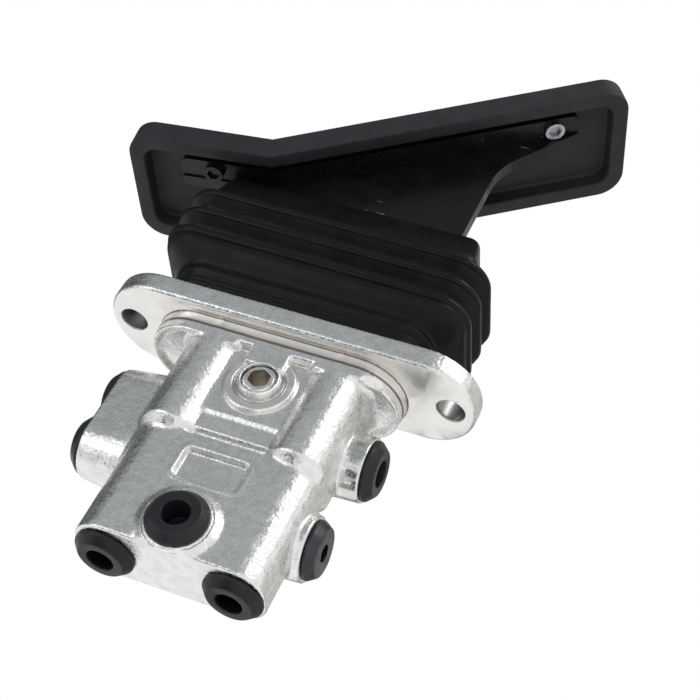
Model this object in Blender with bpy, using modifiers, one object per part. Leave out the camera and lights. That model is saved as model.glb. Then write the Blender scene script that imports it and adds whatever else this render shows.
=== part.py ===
"""Foot-pedal hydraulic pilot control valve.

Frame: the origin lies on the underside of the mounting flange, midway between its two bolt holes.
+Z points up to the pedal, +X to the toe end, and the front port looks along -Y.
"""
import math

import bmesh
import bpy
from mathutils import Matrix, Vector

# Clearances and facets
SEAT_GAP = 0.0003
RUNNING_GAP = 0.0003
FINE_SEGMENTS = 32
WALL_SEGMENTS = 36
ROUND_SEGMENTS = 24
SMALL_SEGMENTS = 16
CUT_OVERRUN = 0.002
ROOT_STEP = 0.0007
SHARP_ANGLE = math.radians(32)
MERGE_DISTANCE = 0.00001

# Mounting flange
HOLE_SPACING = 0.126
HOLE_DIAMETER = 0.0106
FLANGE_WIDTH = 0.0403
FLANGE_LENGTH = 0.1447
FLANGE_THICKNESS = 0.0088
FLANGE_EDGE_ROUND = 0.0009

# Register neck under the flange
NECK_RADIUS = 0.017
NECK_HEEL_X = -0.0512
NECK_TOE_X = 0.0465
NECK_DEPTH = 0.0083

# Spool bores and the walls round them
BORE_SPACING = 0.0476
BORE_Y = 0.0024
UPPER_WALL_RADIUS = 0.0118
UPPER_WALL_DEPTH = 0.0344
UPPER_WALL_END_Z = -0.0458
LOWER_WALL_RADIUS = 0.0116
LOWER_WALL_DEPTH = 0.0266
POCKET_WALL_RADIUS = 0.0104
LOWER_BLOCK_TOP_Z = -0.0480
BODY_BOTTOM_Z = -0.0949
CHAMBER_RADIUS = 0.0094
CHAMBER_FLOOR_Z = -0.040
SPOOL_BORE_RADIUS = 0.0053

# Ports
PORT_RADIUS = 0.0076
PORT_DEPTH = 0.009
BOSS_RADIUS = 0.0120
BOSS_FLARE = 0.0035
SIDE_PORT_Y = 0.0096
HEEL_BOSS_REACH = 0.0299
HEEL_UPPER_PORT_Z = -0.0301
HEEL_LOWER_PORT_Z = -0.0525
TANK_BOSS_REACH = 0.0197
TANK_PORT_Z = -0.0277
TOE_LOWER_BOSS_REACH = 0.0145
TOE_LOWER_PORT_Z = -0.0653
FRONT_PORT_FACE_Y = -0.0134
FRONT_PORT_Z = -0.0842
FRONT_PORT_DEPTH = 0.0155
GALLERY_RADIUS = 0.0035
TAKE_OFF_RADIUS = 0.0024
GALLERY_WALL = 0.0058

# Raised rings, bars and recess on the front of the casting
RING_BOSS_Z = -0.0210
RING_PAD_RADIUS = 0.0129
RING_PAD_Y = -0.0128
RING_BOSS_RADIUS = 0.0078
RING_GROOVE_OUTER = 0.0105
RING_GROOVE_SINK = 0.0014
RING_GROOVE_ROOT = 0.0004
RING_BOSS_Y = -0.0157
SOCKET_BORE_RADIUS = 0.0066
SOCKET_BORE_DEPTH = 0.0095
SHELF_Y = -0.0112
SHELF_BOTTOM_Z = -0.0375
SHELF_SLOPE = 0.0035
STUB_TOP_Z = -0.0060
STUB_HEIGHT = 0.0034
STUB_Y = -0.0145
STUB_INNER_X = {"heel": -0.009, "toe": 0.006}
RECESS_WIDTH = 0.0242
RECESS_TOP_Z = -0.0538
RECESS_BOTTOM_Z = -0.0667
RECESS_DEPTH = 0.0018
RECESS_CORNER_RADIUS = 0.0012
SCOOP_RADIUS = 0.0085
SCOOP_X = 0.0395
SCOOP_Y = -0.0165
SCOOP_Z = -0.0125

# Port caps
CAP_RIM_RADIUS = 0.01107
CAP_RIM_HEIGHT = 0.0011
CAP_FACE_RADIUS = 0.0084
CAP_HEIGHT = 0.0042
CAP_HOLE_RADIUS = 0.00498
CAP_STEM_RADIUS = 0.0073
CAP_STEM_LENGTH = 0.0075
CAP_FLOOR = 0.0016

# Steel socket plugs
SCREW_PLUG_RIM_RADIUS = 0.0107
SCREW_PLUG_HEIGHT = 0.0042
SCREW_PLUG_FACE_RADIUS = 0.0088
SCREW_PLUG_SOCKET = 0.0035
SOCKET_PLUG_HEX = 0.0040
SOCKET_PLUG_LENGTH = 0.0080
SOCKET_PLUG_SET_BACK = 0.0006
HEX_DEPTH = 0.0045

# Pivot cover bolted on the flange
PIVOT_Z = 0.040
COVER_HALF_LENGTH = 0.0445
COVER_FRONT_Y = -0.0134
COVER_BACK_Y = 0.0142
COVER_THICKNESS = 0.0109
COVER_CORNER_RADIUS = 0.006
EAR_THICKNESS = 0.0036
EAR_RADIUS = 0.0092
EAR_FOOT_HALF_WIDTH = 0.0155
EAR_SIDE_GAP = 0.0005
COVER_SCREW_X = 0.0395
COVER_SCREW_FRONT_Y = -0.0075
COVER_SCREW_BACK_Y = 0.0097
COVER_SCREW_RADIUS = 0.0025
COVER_SCREW_DEPTH = 0.009
COVER_SCREW_HEAD_RADIUS = 0.00425
COVER_SCREW_HEAD_HEIGHT = 0.005

# Plunger guides, seals and push rods
ROD_RADIUS = 0.004
GUIDE_RADIUS = 0.0091
GUIDE_BOTTOM_Z = -0.005
GUIDE_NECK_RADIUS = 0.0078
SEAL_RADIUS = 0.0062
SEAL_HEIGHT = 0.0034
SEAL_TOP_MARGIN = 0.0005
RING_CORD_RADIUS = 0.0008
RING_GROOVE_Z = 0.0015
RING_GROOVE_DEPTH = 0.0018

# Rocker and its shaft
PEDAL_SWING = math.radians(12)
SHAFT_RADIUS = 0.005
BUSH_WALL = 0.0014
ROCKER_THICKNESS = 0.0122
ROCKER_HUB_RADIUS = 0.0088
CONTACT_DROP = 0.008
CONTACT_RADIUS = 0.004
ROCKER_HEAD_HALF_WIDTH = 0.019
ROCKER_HEAD_HEIGHT = 0.021
SET_SCREW_RADIUS = 0.003
SET_SCREW_LENGTH = 0.0034

# Springs, seats and spools
SPRING_SEAT_RADIUS = 0.0088
SPRING_SEAT_THICKNESS = 0.0034
RETURN_SPRING_RADIUS = 0.0078
RETURN_WIRE_RADIUS = 0.0010
RETURN_TURNS = 5
METER_SPRING_RADIUS = 0.0050
METER_WIRE_RADIUS = 0.0008
METER_TURNS = 5
SPOOL_RADIUS = 0.0050
SPOOL_STEM_RADIUS = 0.003
SPOOL_WAIST_RADIUS = 0.0034
SPOOL_COLLAR_RADIUS = 0.0062
SPOOL_COLLAR_Z = -0.033
SPOOL_COLLAR_THICKNESS = 0.0025
SPOOL_STEM_LENGTH = 0.0125
SPOOL_LAND_LENGTH = 0.006
SPOOL_END_Z = -0.0785
SPOOL_DRILL_RADIUS = 0.0020
SPOOL_DRILL_DEPTH = 0.018

# Pedal pad, measured on its top surface from the kink
KINK_X = -0.0419
KINK_Z = 0.0832
HEEL_ANGLE = math.radians(7.1)
TOE_ANGLE = math.radians(35.3)
HEEL_LENGTH = 0.0577
TOE_LENGTH = 0.1415
PAD_WIDTH = 0.0538
PAD_HEIGHT = 0.0101
PAD_TOP_THICKNESS = 0.0034
PAD_RIM_WIDTH = 0.0064
PAD_CORNER_RADIUS = 0.0105
PAD_RECESS_CORNER_RADIUS = 0.006
PAD_RECESS_ROUND = 0.0014

# Bent steel bracket
BRACKET_THICKNESS = 0.0048
WEB_FRONT_Y = -0.0088
FLAP_FRONT_Y = -0.0174
BRACKET_HEEL_LENGTH = 0.0365
BRACKET_TOE_LENGTH = 0.1216
FLAP_CORNER_RADIUS = 0.0035
FLAP_SIDE_CLEARANCE = 0.0031
WEB_TOE_X = 0.0392
WEB_TOE_CORNER_Z = 0.1156
WEB_TOE_BEND_RADIUS = 0.0258
WEB_HEEL_X = -0.0505
WEB_JOIN_DEPTH = 0.0093
WEB_END_STEP = 0.0004
WEB_SHOULDER_Z = 0.0675
WEB_FOOT_Z = 0.0505
WEB_CORNER_RADIUS = 0.003
ROCKER_BOLT_X = 0.0115
ROCKER_BOLT_Z = 0.0560
ROCKER_BOLT_RADIUS = 0.004
ROCKER_BOLT_HEAD_RADIUS = 0.0072
ROCKER_BOLT_HEAD_HEIGHT = 0.0042
ROCKER_BOLT_DEPTH = 0.0098
PAD_SCREW_Y = -0.0131
PAD_SCREW_RADIUS = 0.0025
PAD_SCREW_HEAD_RADIUS = 0.0040
PAD_SCREW_HEAD_HEIGHT = 0.0024
PAD_SCREW_BITE = 0.0018
PAD_SCREW_PLACES = {"heel": -0.0225, "middle": 0.0330, "toe": 0.1110}

# Rubber boot
BOOT_X = -0.0017
BOOT_WALL = 0.0016
BOOT_BASE_HALF_LENGTH = 0.051
BOOT_BASE_HALF_WIDTH = 0.0174
BOOT_BEAD_HALF_LENGTH = 0.0615
BOOT_BEAD_HALF_WIDTH = 0.0240
BOOT_FOLD_DEPTH = 0.0048
BOOT_FIRST_BEAD_Z = 0.0298
BOOT_BEAD_PITCH = 0.01015
BOOT_BEADS = 3
BOOT_BEAD_HALF_HEIGHT = 0.0016
BOOT_LIP_Z = 0.0180
BOOT_LIP_SWELL = 0.0011
BOOT_BASE_HEIGHT = 0.0055
BOOT_CORNER_RADIUS = 0.013
BOOT_HEEL_LIFT = 0.0018
BOOT_COLLAR_Z = 0.0540
BOOT_COLLAR_CORNER_RADIUS = 0.0055
BOOT_COLLAR_HALF_LENGTH = 0.0547
BOOT_COLLAR_HALF_WIDTH = 0.0198
BOOT_TOP_Z = 0.0716
BOOT_TOP_HEEL_X = -0.0560
BOOT_TOP_TOE_X = 0.0478
BOOT_TOP_HALF_WIDTH = 0.0130
BOOT_TOP_CORNER_RADIUS = 0.0040
BOOT_SLOT_GAP = 0.0004

# Derived values
HEEL_PORT_FACE_X = -BORE_SPACING / 2 - HEEL_BOSS_REACH
TANK_PORT_FACE_X = BORE_SPACING / 2 + TANK_BOSS_REACH
TOE_LOWER_PORT_FACE_X = BORE_SPACING / 2 + TOE_LOWER_BOSS_REACH
GUIDE_BORE_RADIUS = ROD_RADIUS + RUNNING_GAP
COVER_BOTTOM_Z = FLANGE_THICKNESS + SEAT_GAP
COVER_TOP_Z = COVER_BOTTOM_Z + COVER_THICKNESS
ROD_TOP_Z = PIVOT_Z - CONTACT_DROP - CONTACT_RADIUS - SEAT_GAP
ROD_STROKE = PEDAL_SWING * BORE_SPACING / 2
SPRING_SEAT_TOP_Z = GUIDE_BOTTOM_Z - ROD_STROKE - 2 * RUNNING_GAP
ROD_BOTTOM_Z = SPRING_SEAT_TOP_Z + SEAT_GAP
SPRING_TOP_Z = SPRING_SEAT_TOP_Z - SPRING_SEAT_THICKNESS - SEAT_GAP
WEB_BACK_Y = WEB_FRONT_Y + BRACKET_THICKNESS
ROCKER_FRONT_Y = WEB_BACK_Y + SEAT_GAP
ROCKER_BACK_Y = ROCKER_FRONT_Y + ROCKER_THICKNESS
FRONT_EAR_Y = WEB_FRONT_Y - EAR_SIDE_GAP - EAR_THICKNESS
BACK_EAR_Y = ROCKER_BACK_Y + EAR_SIDE_GAP
BUSH_BORE_RADIUS = SHAFT_RADIUS + RUNNING_GAP
BUSH_RADIUS = BUSH_BORE_RADIUS + BUSH_WALL
FLAP_TOP_DEPTH = PAD_TOP_THICKNESS + SEAT_GAP
FLAP_UNDER_DEPTH = FLAP_TOP_DEPTH + BRACKET_THICKNESS
PAD_FRONT_Y = FLAP_FRONT_Y - FLAP_SIDE_CLEARANCE - PAD_RIM_WIDTH
PAD_BACK_Y = PAD_FRONT_Y + PAD_WIDTH
SIDES ={"heel": -1, "toe": 1}

X_AXIS = Vector((1, 0, 0))
Y_AXIS = Vector((0, 1, 0))
Z_AXIS = Vector((0, 0, 1))


def remove_old_objects():
    for old in list(bpy.data.objects):
        bpy.data.objects.remove(old, do_unlink=True)


def new_collection(name):
    collection = bpy.data.collections.new(name)
    bpy.context.scene.collection.children.link(collection)
    return collection


remove_old_objects()
PARTS = new_collection("pedal_pilot_valve")
CUTTERS = new_collection("cutters")


def material(name, colour, roughness, metallic):
    """A plain surface with the colour and gloss of one real finish."""
    made = bpy.data.materials.new(name)
    made.use_nodes = True
    shader = made.node_tree.nodes["Principled BSDF"]
    shader.inputs["Base Color"].default_value = (*colour, 1)
    shader.inputs["Roughness"].default_value = roughness
    shader.inputs["Metallic"].default_value = metallic
    made.diffuse_color = (*colour, 1)
    return made


CAST_ALUMINIUM = material("cast_aluminium", (0.62, 0.64, 0.66), 0.38, 1.0)
CAST_COVER = material("cast_cover", (0.52, 0.53, 0.55), 0.45, 1.0)
MOULDED_CAP = material("moulded_cap", (0.025, 0.027, 0.03), 0.45, 0.0)
BLACK_OXIDE = material("black_oxide_steel", (0.05, 0.052, 0.057), 0.4, 0.8)
BOOT_RUBBER = material("boot_rubber", (0.022, 0.022, 0.023), 0.42, 0.0)
PAD_RUBBER = material("pad_rubber", (0.035, 0.038, 0.042), 0.7, 0.0)
BLACK_PAINT = material("black_paint", (0.012, 0.012, 0.013), 0.3, 0.0)
ZINC_STEEL = material("zinc_plated_steel", (0.66, 0.66, 0.63), 0.3, 1.0)
GROUND_STEEL = material("ground_steel", (0.55, 0.55, 0.56), 0.22, 1.0)
SPRING_STEEL = material("spring_steel", (0.32, 0.32, 0.34), 0.35, 1.0)
BRONZE = material("bearing_bronze", (0.55, 0.36, 0.17), 0.35, 1.0)
SEAL_RUBBER = material("seal_rubber", (0.02, 0.02, 0.02), 0.55, 0.0)


def mesh_object(name, bm, collection=CUTTERS):
    mesh = bpy.data.meshes.new(name)
    bm.to_mesh(mesh)
    bm.free()
    made = bpy.data.objects.new(name, mesh)
    collection.objects.link(made)
    if collection is CUTTERS:
        made.hide_render = True
        made.display_type = "WIRE"
    return made


def finish(made, surface):
    """Move a shape among the parts, shade it and give it its material."""
    for holder in list(made.users_collection):
        holder.objects.unlink(made)
    PARTS.objects.link(made)
    made.hide_render = False
    made.display_type = "TEXTURED"
    made.data.materials.clear()
    made.data.materials.append(surface)
    if made.type == "MESH":
        made.data.shade_smooth()
        made.data.set_sharp_from_angle(angle=SHARP_ANGLE)
    return made


def facing(direction):
    """Rotation that turns +Z to the given direction."""
    return Vector(direction).to_track_quat("Z", "Y").to_matrix().to_4x4()


def cylinder(name, start, direction, length, radius, segments=ROUND_SEGMENTS, end_radius=None):
    """Round bar or cone from a start point along a direction."""
    far_radius = radius if end_radius is None else end_radius
    middle = Vector(start) + Vector(direction) * (length / 2)
    bm = bmesh.new()
    bmesh.ops.create_cone(bm, cap_ends=True, segments=segments, radius1=radius, radius2=far_radius,
                          depth=length, matrix=Matrix.Translation(middle) @ facing(direction))
    return mesh_object(name, bm)


def hull_of_circles(name, circles, segments=FINE_SEGMENTS):
    """Closed body drawn tight round circles given as centre, axis and radius."""
    bm = bmesh.new()
    for centre, axis, radius in circles:
        place = Matrix.Translation(centre) @ facing(axis)
        bmesh.ops.create_circle(bm, segments=segments, radius=radius, matrix=place)
    bmesh.ops.convex_hull(bm, input=bm.verts)
    loose = [vertex for vertex in bm.verts if not vertex.link_faces]
    bmesh.ops.delete(bm, geom=loose, context="VERTS")
    stray = [edge for edge in bm.edges if not edge.link_faces]
    bmesh.ops.delete(bm, geom=stray, context="EDGES")
    bmesh.ops.dissolve_limit(bm, angle_limit=math.radians(0.5), verts=bm.verts, edges=bm.edges)
    bmesh.ops.recalc_face_normals(bm, faces=bm.faces)
    return mesh_object(name, bm)


def box(name, low, high):
    size = Vector(high) - Vector(low)
    place = Matrix.Translation((Vector(high) + Vector(low)) / 2) @ Matrix.Diagonal((*size, 1))
    bm = bmesh.new()
    bmesh.ops.create_cube(bm, size=1, matrix=place)
    return mesh_object(name, bm)


def turned(name, profile, place, segments=ROUND_SEGMENTS, ring=False):
    """Turn a profile of (radius, height) points, outer side downwards, about the local Z axis."""
    bm = bmesh.new()
    points = [bm.verts.new((radius, 0, height)) for radius, height in profile]
    for first, second in zip(points, points[1:]):
        bm.edges.new((first, second))
    if ring:
        bm.edges.new((points[-1], points[0]))
    made = mesh_object(name, bm)
    screw = made.modifiers.new("turn", "SCREW")
    screw.steps = segments
    screw.render_steps = segments
    screw.use_merge_vertices = True
    screw.merge_threshold = MERGE_DISTANCE
    screw.use_smooth_shade = True
    made.matrix_world = place
    return made


def standing(x, y, z):
    return Matrix.Translation((x, y, z))


def combine(target, tools, operation):
    for tool in tools:
        cut = target.modifiers.new(operation.lower(), "BOOLEAN")
        cut.operation = operation
        cut.solver = "EXACT"
        cut.object = tool
    return target


def rounded_corners(corners, steps=6):
    """Replace each (x, z, radius) corner of a closed outline by an arc."""
    points = []
    for index, (x, z, radius) in enumerate(corners):
        corner = Vector((x, z))
        before = (Vector(corners[index - 1][:2]) - corner).normalized()
        after = (Vector(corners[(index + 1) % len(corners)][:2]) - corner).normalized()
        if radius == 0:
            points.append(corner)
            continue
        half_angle = before.angle(after) / 2
        start = corner + before * (radius / math.tan(half_angle))
        end = corner + after * (radius / math.tan(half_angle))
        centre = corner + (before + after).normalized() * (radius / math.sin(half_angle))
        sweep = (start - centre).angle_signed(end - centre)
        for step in range(steps + 1):
            turn = Matrix.Rotation(-sweep * step / steps, 2)
            points.append(centre + turn @ (start - centre))
    return points


def flat_plate(name, outline, y_low, y_high):
    """Plate cut to an outline of (x, z) points, standing between two y planes."""
    curve = bpy.data.curves.new(name, "CURVE")
    curve.dimensions = "2D"
    curve.fill_mode = "BOTH"
    curve.extrude = (y_high - y_low) / 2
    spline = curve.splines.new("POLY")
    spline.points.add(len(outline) - 1)
    for point, (x, z) in zip(spline.points, outline):
        point.co = (x, z, 0, 1)
    spline.use_cyclic_u = True
    drawn = bpy.data.objects.new(name, curve)
    CUTTERS.objects.link(drawn)
    drawn.matrix_world = standing(0, (y_low + y_high) / 2, 0) @ Matrix.Rotation(math.pi / 2, 4, "X")
    return solid_from_curve(drawn, name)


def solid_from_curve(drawn, name):
    """Welded mesh of a curve object, which it replaces."""
    bpy.context.view_layer.update()
    graph = bpy.context.evaluated_depsgraph_get()
    mesh = bpy.data.meshes.new_from_object(drawn.evaluated_get(graph))
    place = drawn.matrix_world.copy()
    bpy.data.objects.remove(drawn, do_unlink=True)
    bm = bmesh.new()
    bm.from_mesh(mesh)
    bmesh.ops.remove_doubles(bm, verts=bm.verts, dist=MERGE_DISTANCE)
    bmesh.ops.recalc_face_normals(bm, faces=bm.faces)
    bpy.data.meshes.remove(mesh)
    made = mesh_object(name, bm)
    made.matrix_world = place
    return made


def pedal_point(along, depth):
    """Point (x, z) of the kinked pedal: along its top from the kink, and below its top surface."""
    heel_run = Vector((math.cos(HEEL_ANGLE), math.sin(HEEL_ANGLE)))
    toe_run = Vector((math.cos(TOE_ANGLE), math.sin(TOE_ANGLE)))
    heel_up = Vector((-heel_run.y, heel_run.x))
    toe_up = Vector((-toe_run.y, toe_run.x))
    kink = Vector((KINK_X, KINK_Z))
    if along == 0:
        return kink - (heel_up + toe_up) * (depth / (1 + heel_up.dot(toe_up)))
    if along < 0:
        return kink + heel_run * along - heel_up * depth
    return kink + toe_run * along - toe_up * depth


def pedal_up(along):
    angle = HEEL_ANGLE if along < 0 else TOE_ANGLE
    return Vector((-math.sin(angle), 0, math.cos(angle)))


def kinked_slab(name, widths, lengths, depths, corner_radius, floor_round=0, front_only=False):
    """Slab that follows the kinked pedal, with all or only its front plan corners rounded."""
    near_y, far_y = widths
    heel, toe = lengths
    top, bottom = depths
    section = [pedal_point(heel, top), pedal_point(0, top), pedal_point(toe, top),
               pedal_point(toe, bottom), pedal_point(0, bottom), pedal_point(heel, bottom)]
    bm = bmesh.new()
    face = bm.faces.new([bm.verts.new((point.x, near_y, point.y)) for point in section])
    swept = bmesh.ops.extrude_face_region(bm, geom=[face])["geom"]
    moved = [item for item in swept if isinstance(item, bmesh.types.BMVert)]
    bmesh.ops.translate(bm, verts=moved, vec=Vector((0, far_y - near_y, 0)))
    bmesh.ops.recalc_face_normals(bm, faces=bm.faces)
    ends = ((section[0], section[5]), (section[2], section[3]))
    corners = [edge for edge in bm.edges if is_plan_corner(edge, ends)]
    if front_only:
        corners = [edge for edge in corners if abs(edge.verts[0].co.y - near_y) < MERGE_DISTANCE]
    bmesh.ops.bevel(bm, geom=corners, offset=corner_radius, segments=5, profile=0.5, affect="EDGES")
    if floor_round > 0:
        rims = [edge for edge in bm.edges if is_floor_edge(edge, top)]
        bmesh.ops.bevel(bm, geom=rims, offset=floor_round, segments=2, profile=0.5, affect="EDGES")
    return mesh_object(name, bm)


def is_plan_corner(edge, ends):
    """True for an edge of the slab that runs through its thickness at one end."""
    first, second = (Vector((vertex.co.x, vertex.co.z)) for vertex in edge.verts)
    if (first - second).length < MERGE_DISTANCE:
        return False
    for start, finish_point in ends:
        straight = (first - start).length + (second - finish_point).length
        turned_round = (first - finish_point).length + (second - start).length
        if min(straight, turned_round) < MERGE_DISTANCE:
            return True
    return False


def depth_below_pad(point):
    """Depth of a point below the pad's top, and below the plane of the leaf it lies on."""
    along = -1 if point.x < KINK_X else 1
    offset = point - Vector((KINK_X, point.y, KINK_Z))
    return -offset.dot(pedal_up(along))


def is_floor_edge(edge, depth):
    """True for an outer edge of the slab's top face."""
    if not all(abs(depth_below_pad(vertex.co) - depth) < 0.0002 for vertex in edge.verts):
        return False
    return len(edge.link_faces) == 2 and edge.calc_face_angle(0) > math.radians(60)


# Valve body

def bore_x(side):
    return SIDES[side] * BORE_SPACING / 2


def root_y(order):
    """Depth inside the casting where a raised form ends, a different plane for each order."""
    return BORE_Y + ROOT_STEP * order


def root_x(side, order):
    """Length inside the casting where a side form ends, a different plane for each order."""
    return SIDES[side] * (BORE_SPACING / 2 - ROOT_STEP * order)


def root_z(order):
    """Height inside the flange where a wall ends, a different plane for each order."""
    return FLANGE_THICKNESS / 2 + ROOT_STEP * order


def obround(name, x_low, x_high, y, radius, z_low, z_high, segments=FINE_SEGMENTS):
    circles = []
    for x in (x_low + radius, x_high - radius):
        circles += [((x, y, z), Z_AXIS, radius) for z in (z_low, z_high)]
    return hull_of_circles(name, circles, segments)


def flange_plate():
    """Obround flange with its edges broken on both faces."""
    radius = FLANGE_WIDTH / 2
    inner = radius - FLANGE_EDGE_ROUND
    levels = ((0, inner), (FLANGE_EDGE_ROUND, radius),
              (FLANGE_THICKNESS - FLANGE_EDGE_ROUND, radius), (FLANGE_THICKNESS, inner))
    circles = []
    for x in (radius - FLANGE_LENGTH / 2, FLANGE_LENGTH / 2 - radius):
        circles += [((x, 0, z), Z_AXIS, size) for z, size in levels]
    return hull_of_circles("valve_body", circles, segments=40)


def wall_circles(xs, depth, radius, z):
    """Circles at one height for a wall of the given depth, set evenly about the bores in y."""
    reach = depth / 2 - radius
    return [((x, BORE_Y + side * reach, z), Z_AXIS, radius) for x in xs for side in (-1, 1)]


def bore_walls():
    """Two upper walls that stand out as ridges, coned off onto the lower block."""
    walls = []
    step = (UPPER_WALL_DEPTH - LOWER_WALL_DEPTH) / 2
    for side in SIDES:
        xs = [bore_x(side)]
        circles = wall_circles(xs, UPPER_WALL_DEPTH, UPPER_WALL_RADIUS, root_z(1))
        circles += wall_circles(xs, UPPER_WALL_DEPTH, UPPER_WALL_RADIUS, UPPER_WALL_END_Z)
        circles += wall_circles(xs, UPPER_WALL_DEPTH - 2 * step, UPPER_WALL_RADIUS - step / 4,
                                UPPER_WALL_END_Z - step)
        walls.append(hull_of_circles(f"bore_wall_{side}", circles, WALL_SEGMENTS))
    return walls


def central_walls():
    reach = BORE_SPACING / 2
    pocket = obround("pocket_wall", -reach - POCKET_WALL_RADIUS, reach + POCKET_WALL_RADIUS, BORE_Y,
                     POCKET_WALL_RADIUS, LOWER_BLOCK_TOP_Z - CUT_OVERRUN, root_z(-1))
    lower_circles = []
    for z in (BODY_BOTTOM_Z, LOWER_BLOCK_TOP_Z):
        lower_circles += wall_circles((-reach, reach), LOWER_WALL_DEPTH, LOWER_WALL_RADIUS, z)
    lower = hull_of_circles("lower_block", lower_circles)
    neck = obround("neck", NECK_HEEL_X, NECK_TOE_X, BORE_Y, NECK_RADIUS, -NECK_DEPTH, root_z(0))
    return [pocket, lower, neck]


def side_bosses():
    """Flared bosses of the side ports; the two heel ports share one wing."""
    wing_circles = []
    for z in (HEEL_UPPER_PORT_Z, HEEL_LOWER_PORT_Z):
        wing_circles.append(((HEEL_PORT_FACE_X, SIDE_PORT_Y, z), X_AXIS, BOSS_RADIUS))
        wing_circles.append(((root_x("heel", 1), SIDE_PORT_Y, z), X_AXIS, BOSS_RADIUS + BOSS_FLARE))
    wing = hull_of_circles("heel_wing", wing_circles)
    bosses = [wing]
    for name, face_x, z in (("tank_boss", TANK_PORT_FACE_X, TANK_PORT_Z),
                            ("toe_boss", TOE_LOWER_PORT_FACE_X, TOE_LOWER_PORT_Z)):
        length = face_x - root_x("toe", 3)
        bosses.append(cylinder(name, (face_x, SIDE_PORT_Y, z), -X_AXIS, length, BOSS_RADIUS,
                               FINE_SEGMENTS, BOSS_RADIUS + BOSS_FLARE / 4))
    return bosses


def back_galleries():
    """Cast ribs on the back that carry the cross drillings."""
    radius = GALLERY_RADIUS + GALLERY_WALL
    ribs = []
    start = root_x("heel", 4)
    length = root_x("toe", 5) - start
    for name, z in (("tank_rib", TANK_PORT_Z), ("pressure_rib", HEEL_LOWER_PORT_Z)):
        ribs.append(cylinder(name, (start, SIDE_PORT_Y, z), X_AXIS, length, radius))
    return ribs


def front_relief():
    """Rings, shelf and stub bars raised on the front between the bore walls."""
    ring_pad = cylinder("ring_pad", (0, RING_PAD_Y, RING_BOSS_Z), Y_AXIS, root_y(1) - RING_PAD_Y,
                        RING_PAD_RADIUS, FINE_SEGMENTS)
    ring_boss = cylinder("ring_boss", (0, RING_BOSS_Y, RING_BOSS_Z), Y_AXIS, root_y(2) - RING_BOSS_Y,
                         RING_BOSS_RADIUS, FINE_SEGMENTS)
    port_boss = cylinder("front_port_boss", (0, FRONT_PORT_FACE_Y, FRONT_PORT_Z), Y_AXIS,
                         root_y(1) - FRONT_PORT_FACE_Y, BOSS_RADIUS, FINE_SEGMENTS)
    shelf = flat_shelf(root_x("toe", 2), root_y(-1))
    stubs = []
    for side, inner_x in STUB_INNER_X.items():
        stubs.append(hull_of_circles(f"stub_{side}", [
            ((x, y, STUB_TOP_Z - STUB_HEIGHT / 2), Y_AXIS, STUB_HEIGHT / 2)
            for x in (inner_x, root_x(side, 4)) for y in (STUB_Y, root_y(-2))], SMALL_SEGMENTS))
    return [ring_pad, ring_boss, port_boss, shelf] + stubs


def flat_shelf(reach, back):
    """Raised panel behind the ring, with a sloping underside."""
    top = ROOT_STEP - NECK_DEPTH
    section = [(SHELF_Y, top), (SHELF_Y, SHELF_BOTTOM_Z), (back, SHELF_BOTTOM_Z - SHELF_SLOPE), (back, top)]
    bm = bmesh.new()
    face = bm.faces.new([bm.verts.new((-reach, y, z)) for y, z in section])
    swept = bmesh.ops.extrude_face_region(bm, geom=[face])["geom"]
    moved = [item for item in swept if isinstance(item, bmesh.types.BMVert)]
    bmesh.ops.translate(bm, verts=moved, vec=X_AXIS * (2 * reach))
    bmesh.ops.recalc_face_normals(bm, faces=bm.faces)
    return mesh_object("shelf", bm)


def port_places():
    """Face centre and outward direction of each port."""
    return {
        "heel_upper": (Vector((HEEL_PORT_FACE_X, SIDE_PORT_Y, HEEL_UPPER_PORT_Z)), -X_AXIS),
        "heel_lower": (Vector((HEEL_PORT_FACE_X, SIDE_PORT_Y, HEEL_LOWER_PORT_Z)), -X_AXIS),
        "toe_upper": (Vector((TANK_PORT_FACE_X, SIDE_PORT_Y, TANK_PORT_Z)), X_AXIS),
        "toe_lower": (Vector((TOE_LOWER_PORT_FACE_X, SIDE_PORT_Y, TOE_LOWER_PORT_Z)), X_AXIS),
        "front": (Vector((0, FRONT_PORT_FACE_Y, FRONT_PORT_Z)), -Y_AXIS),
        "bottom_heel": (Vector((bore_x("heel"), BORE_Y, BODY_BOTTOM_Z)), -Z_AXIS),
        "bottom_toe": (Vector((bore_x("toe"), BORE_Y, BODY_BOTTOM_Z)), -Z_AXIS),
    }


def drill(name, start, direction, depth, radius, segments=SMALL_SEGMENTS):
    """Blind hole cut from a face, started just outside it."""
    outside = Vector(start) - Vector(direction) * CUT_OVERRUN
    return cylinder(name, outside, direction, depth + CUT_OVERRUN, radius, segments)


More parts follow.
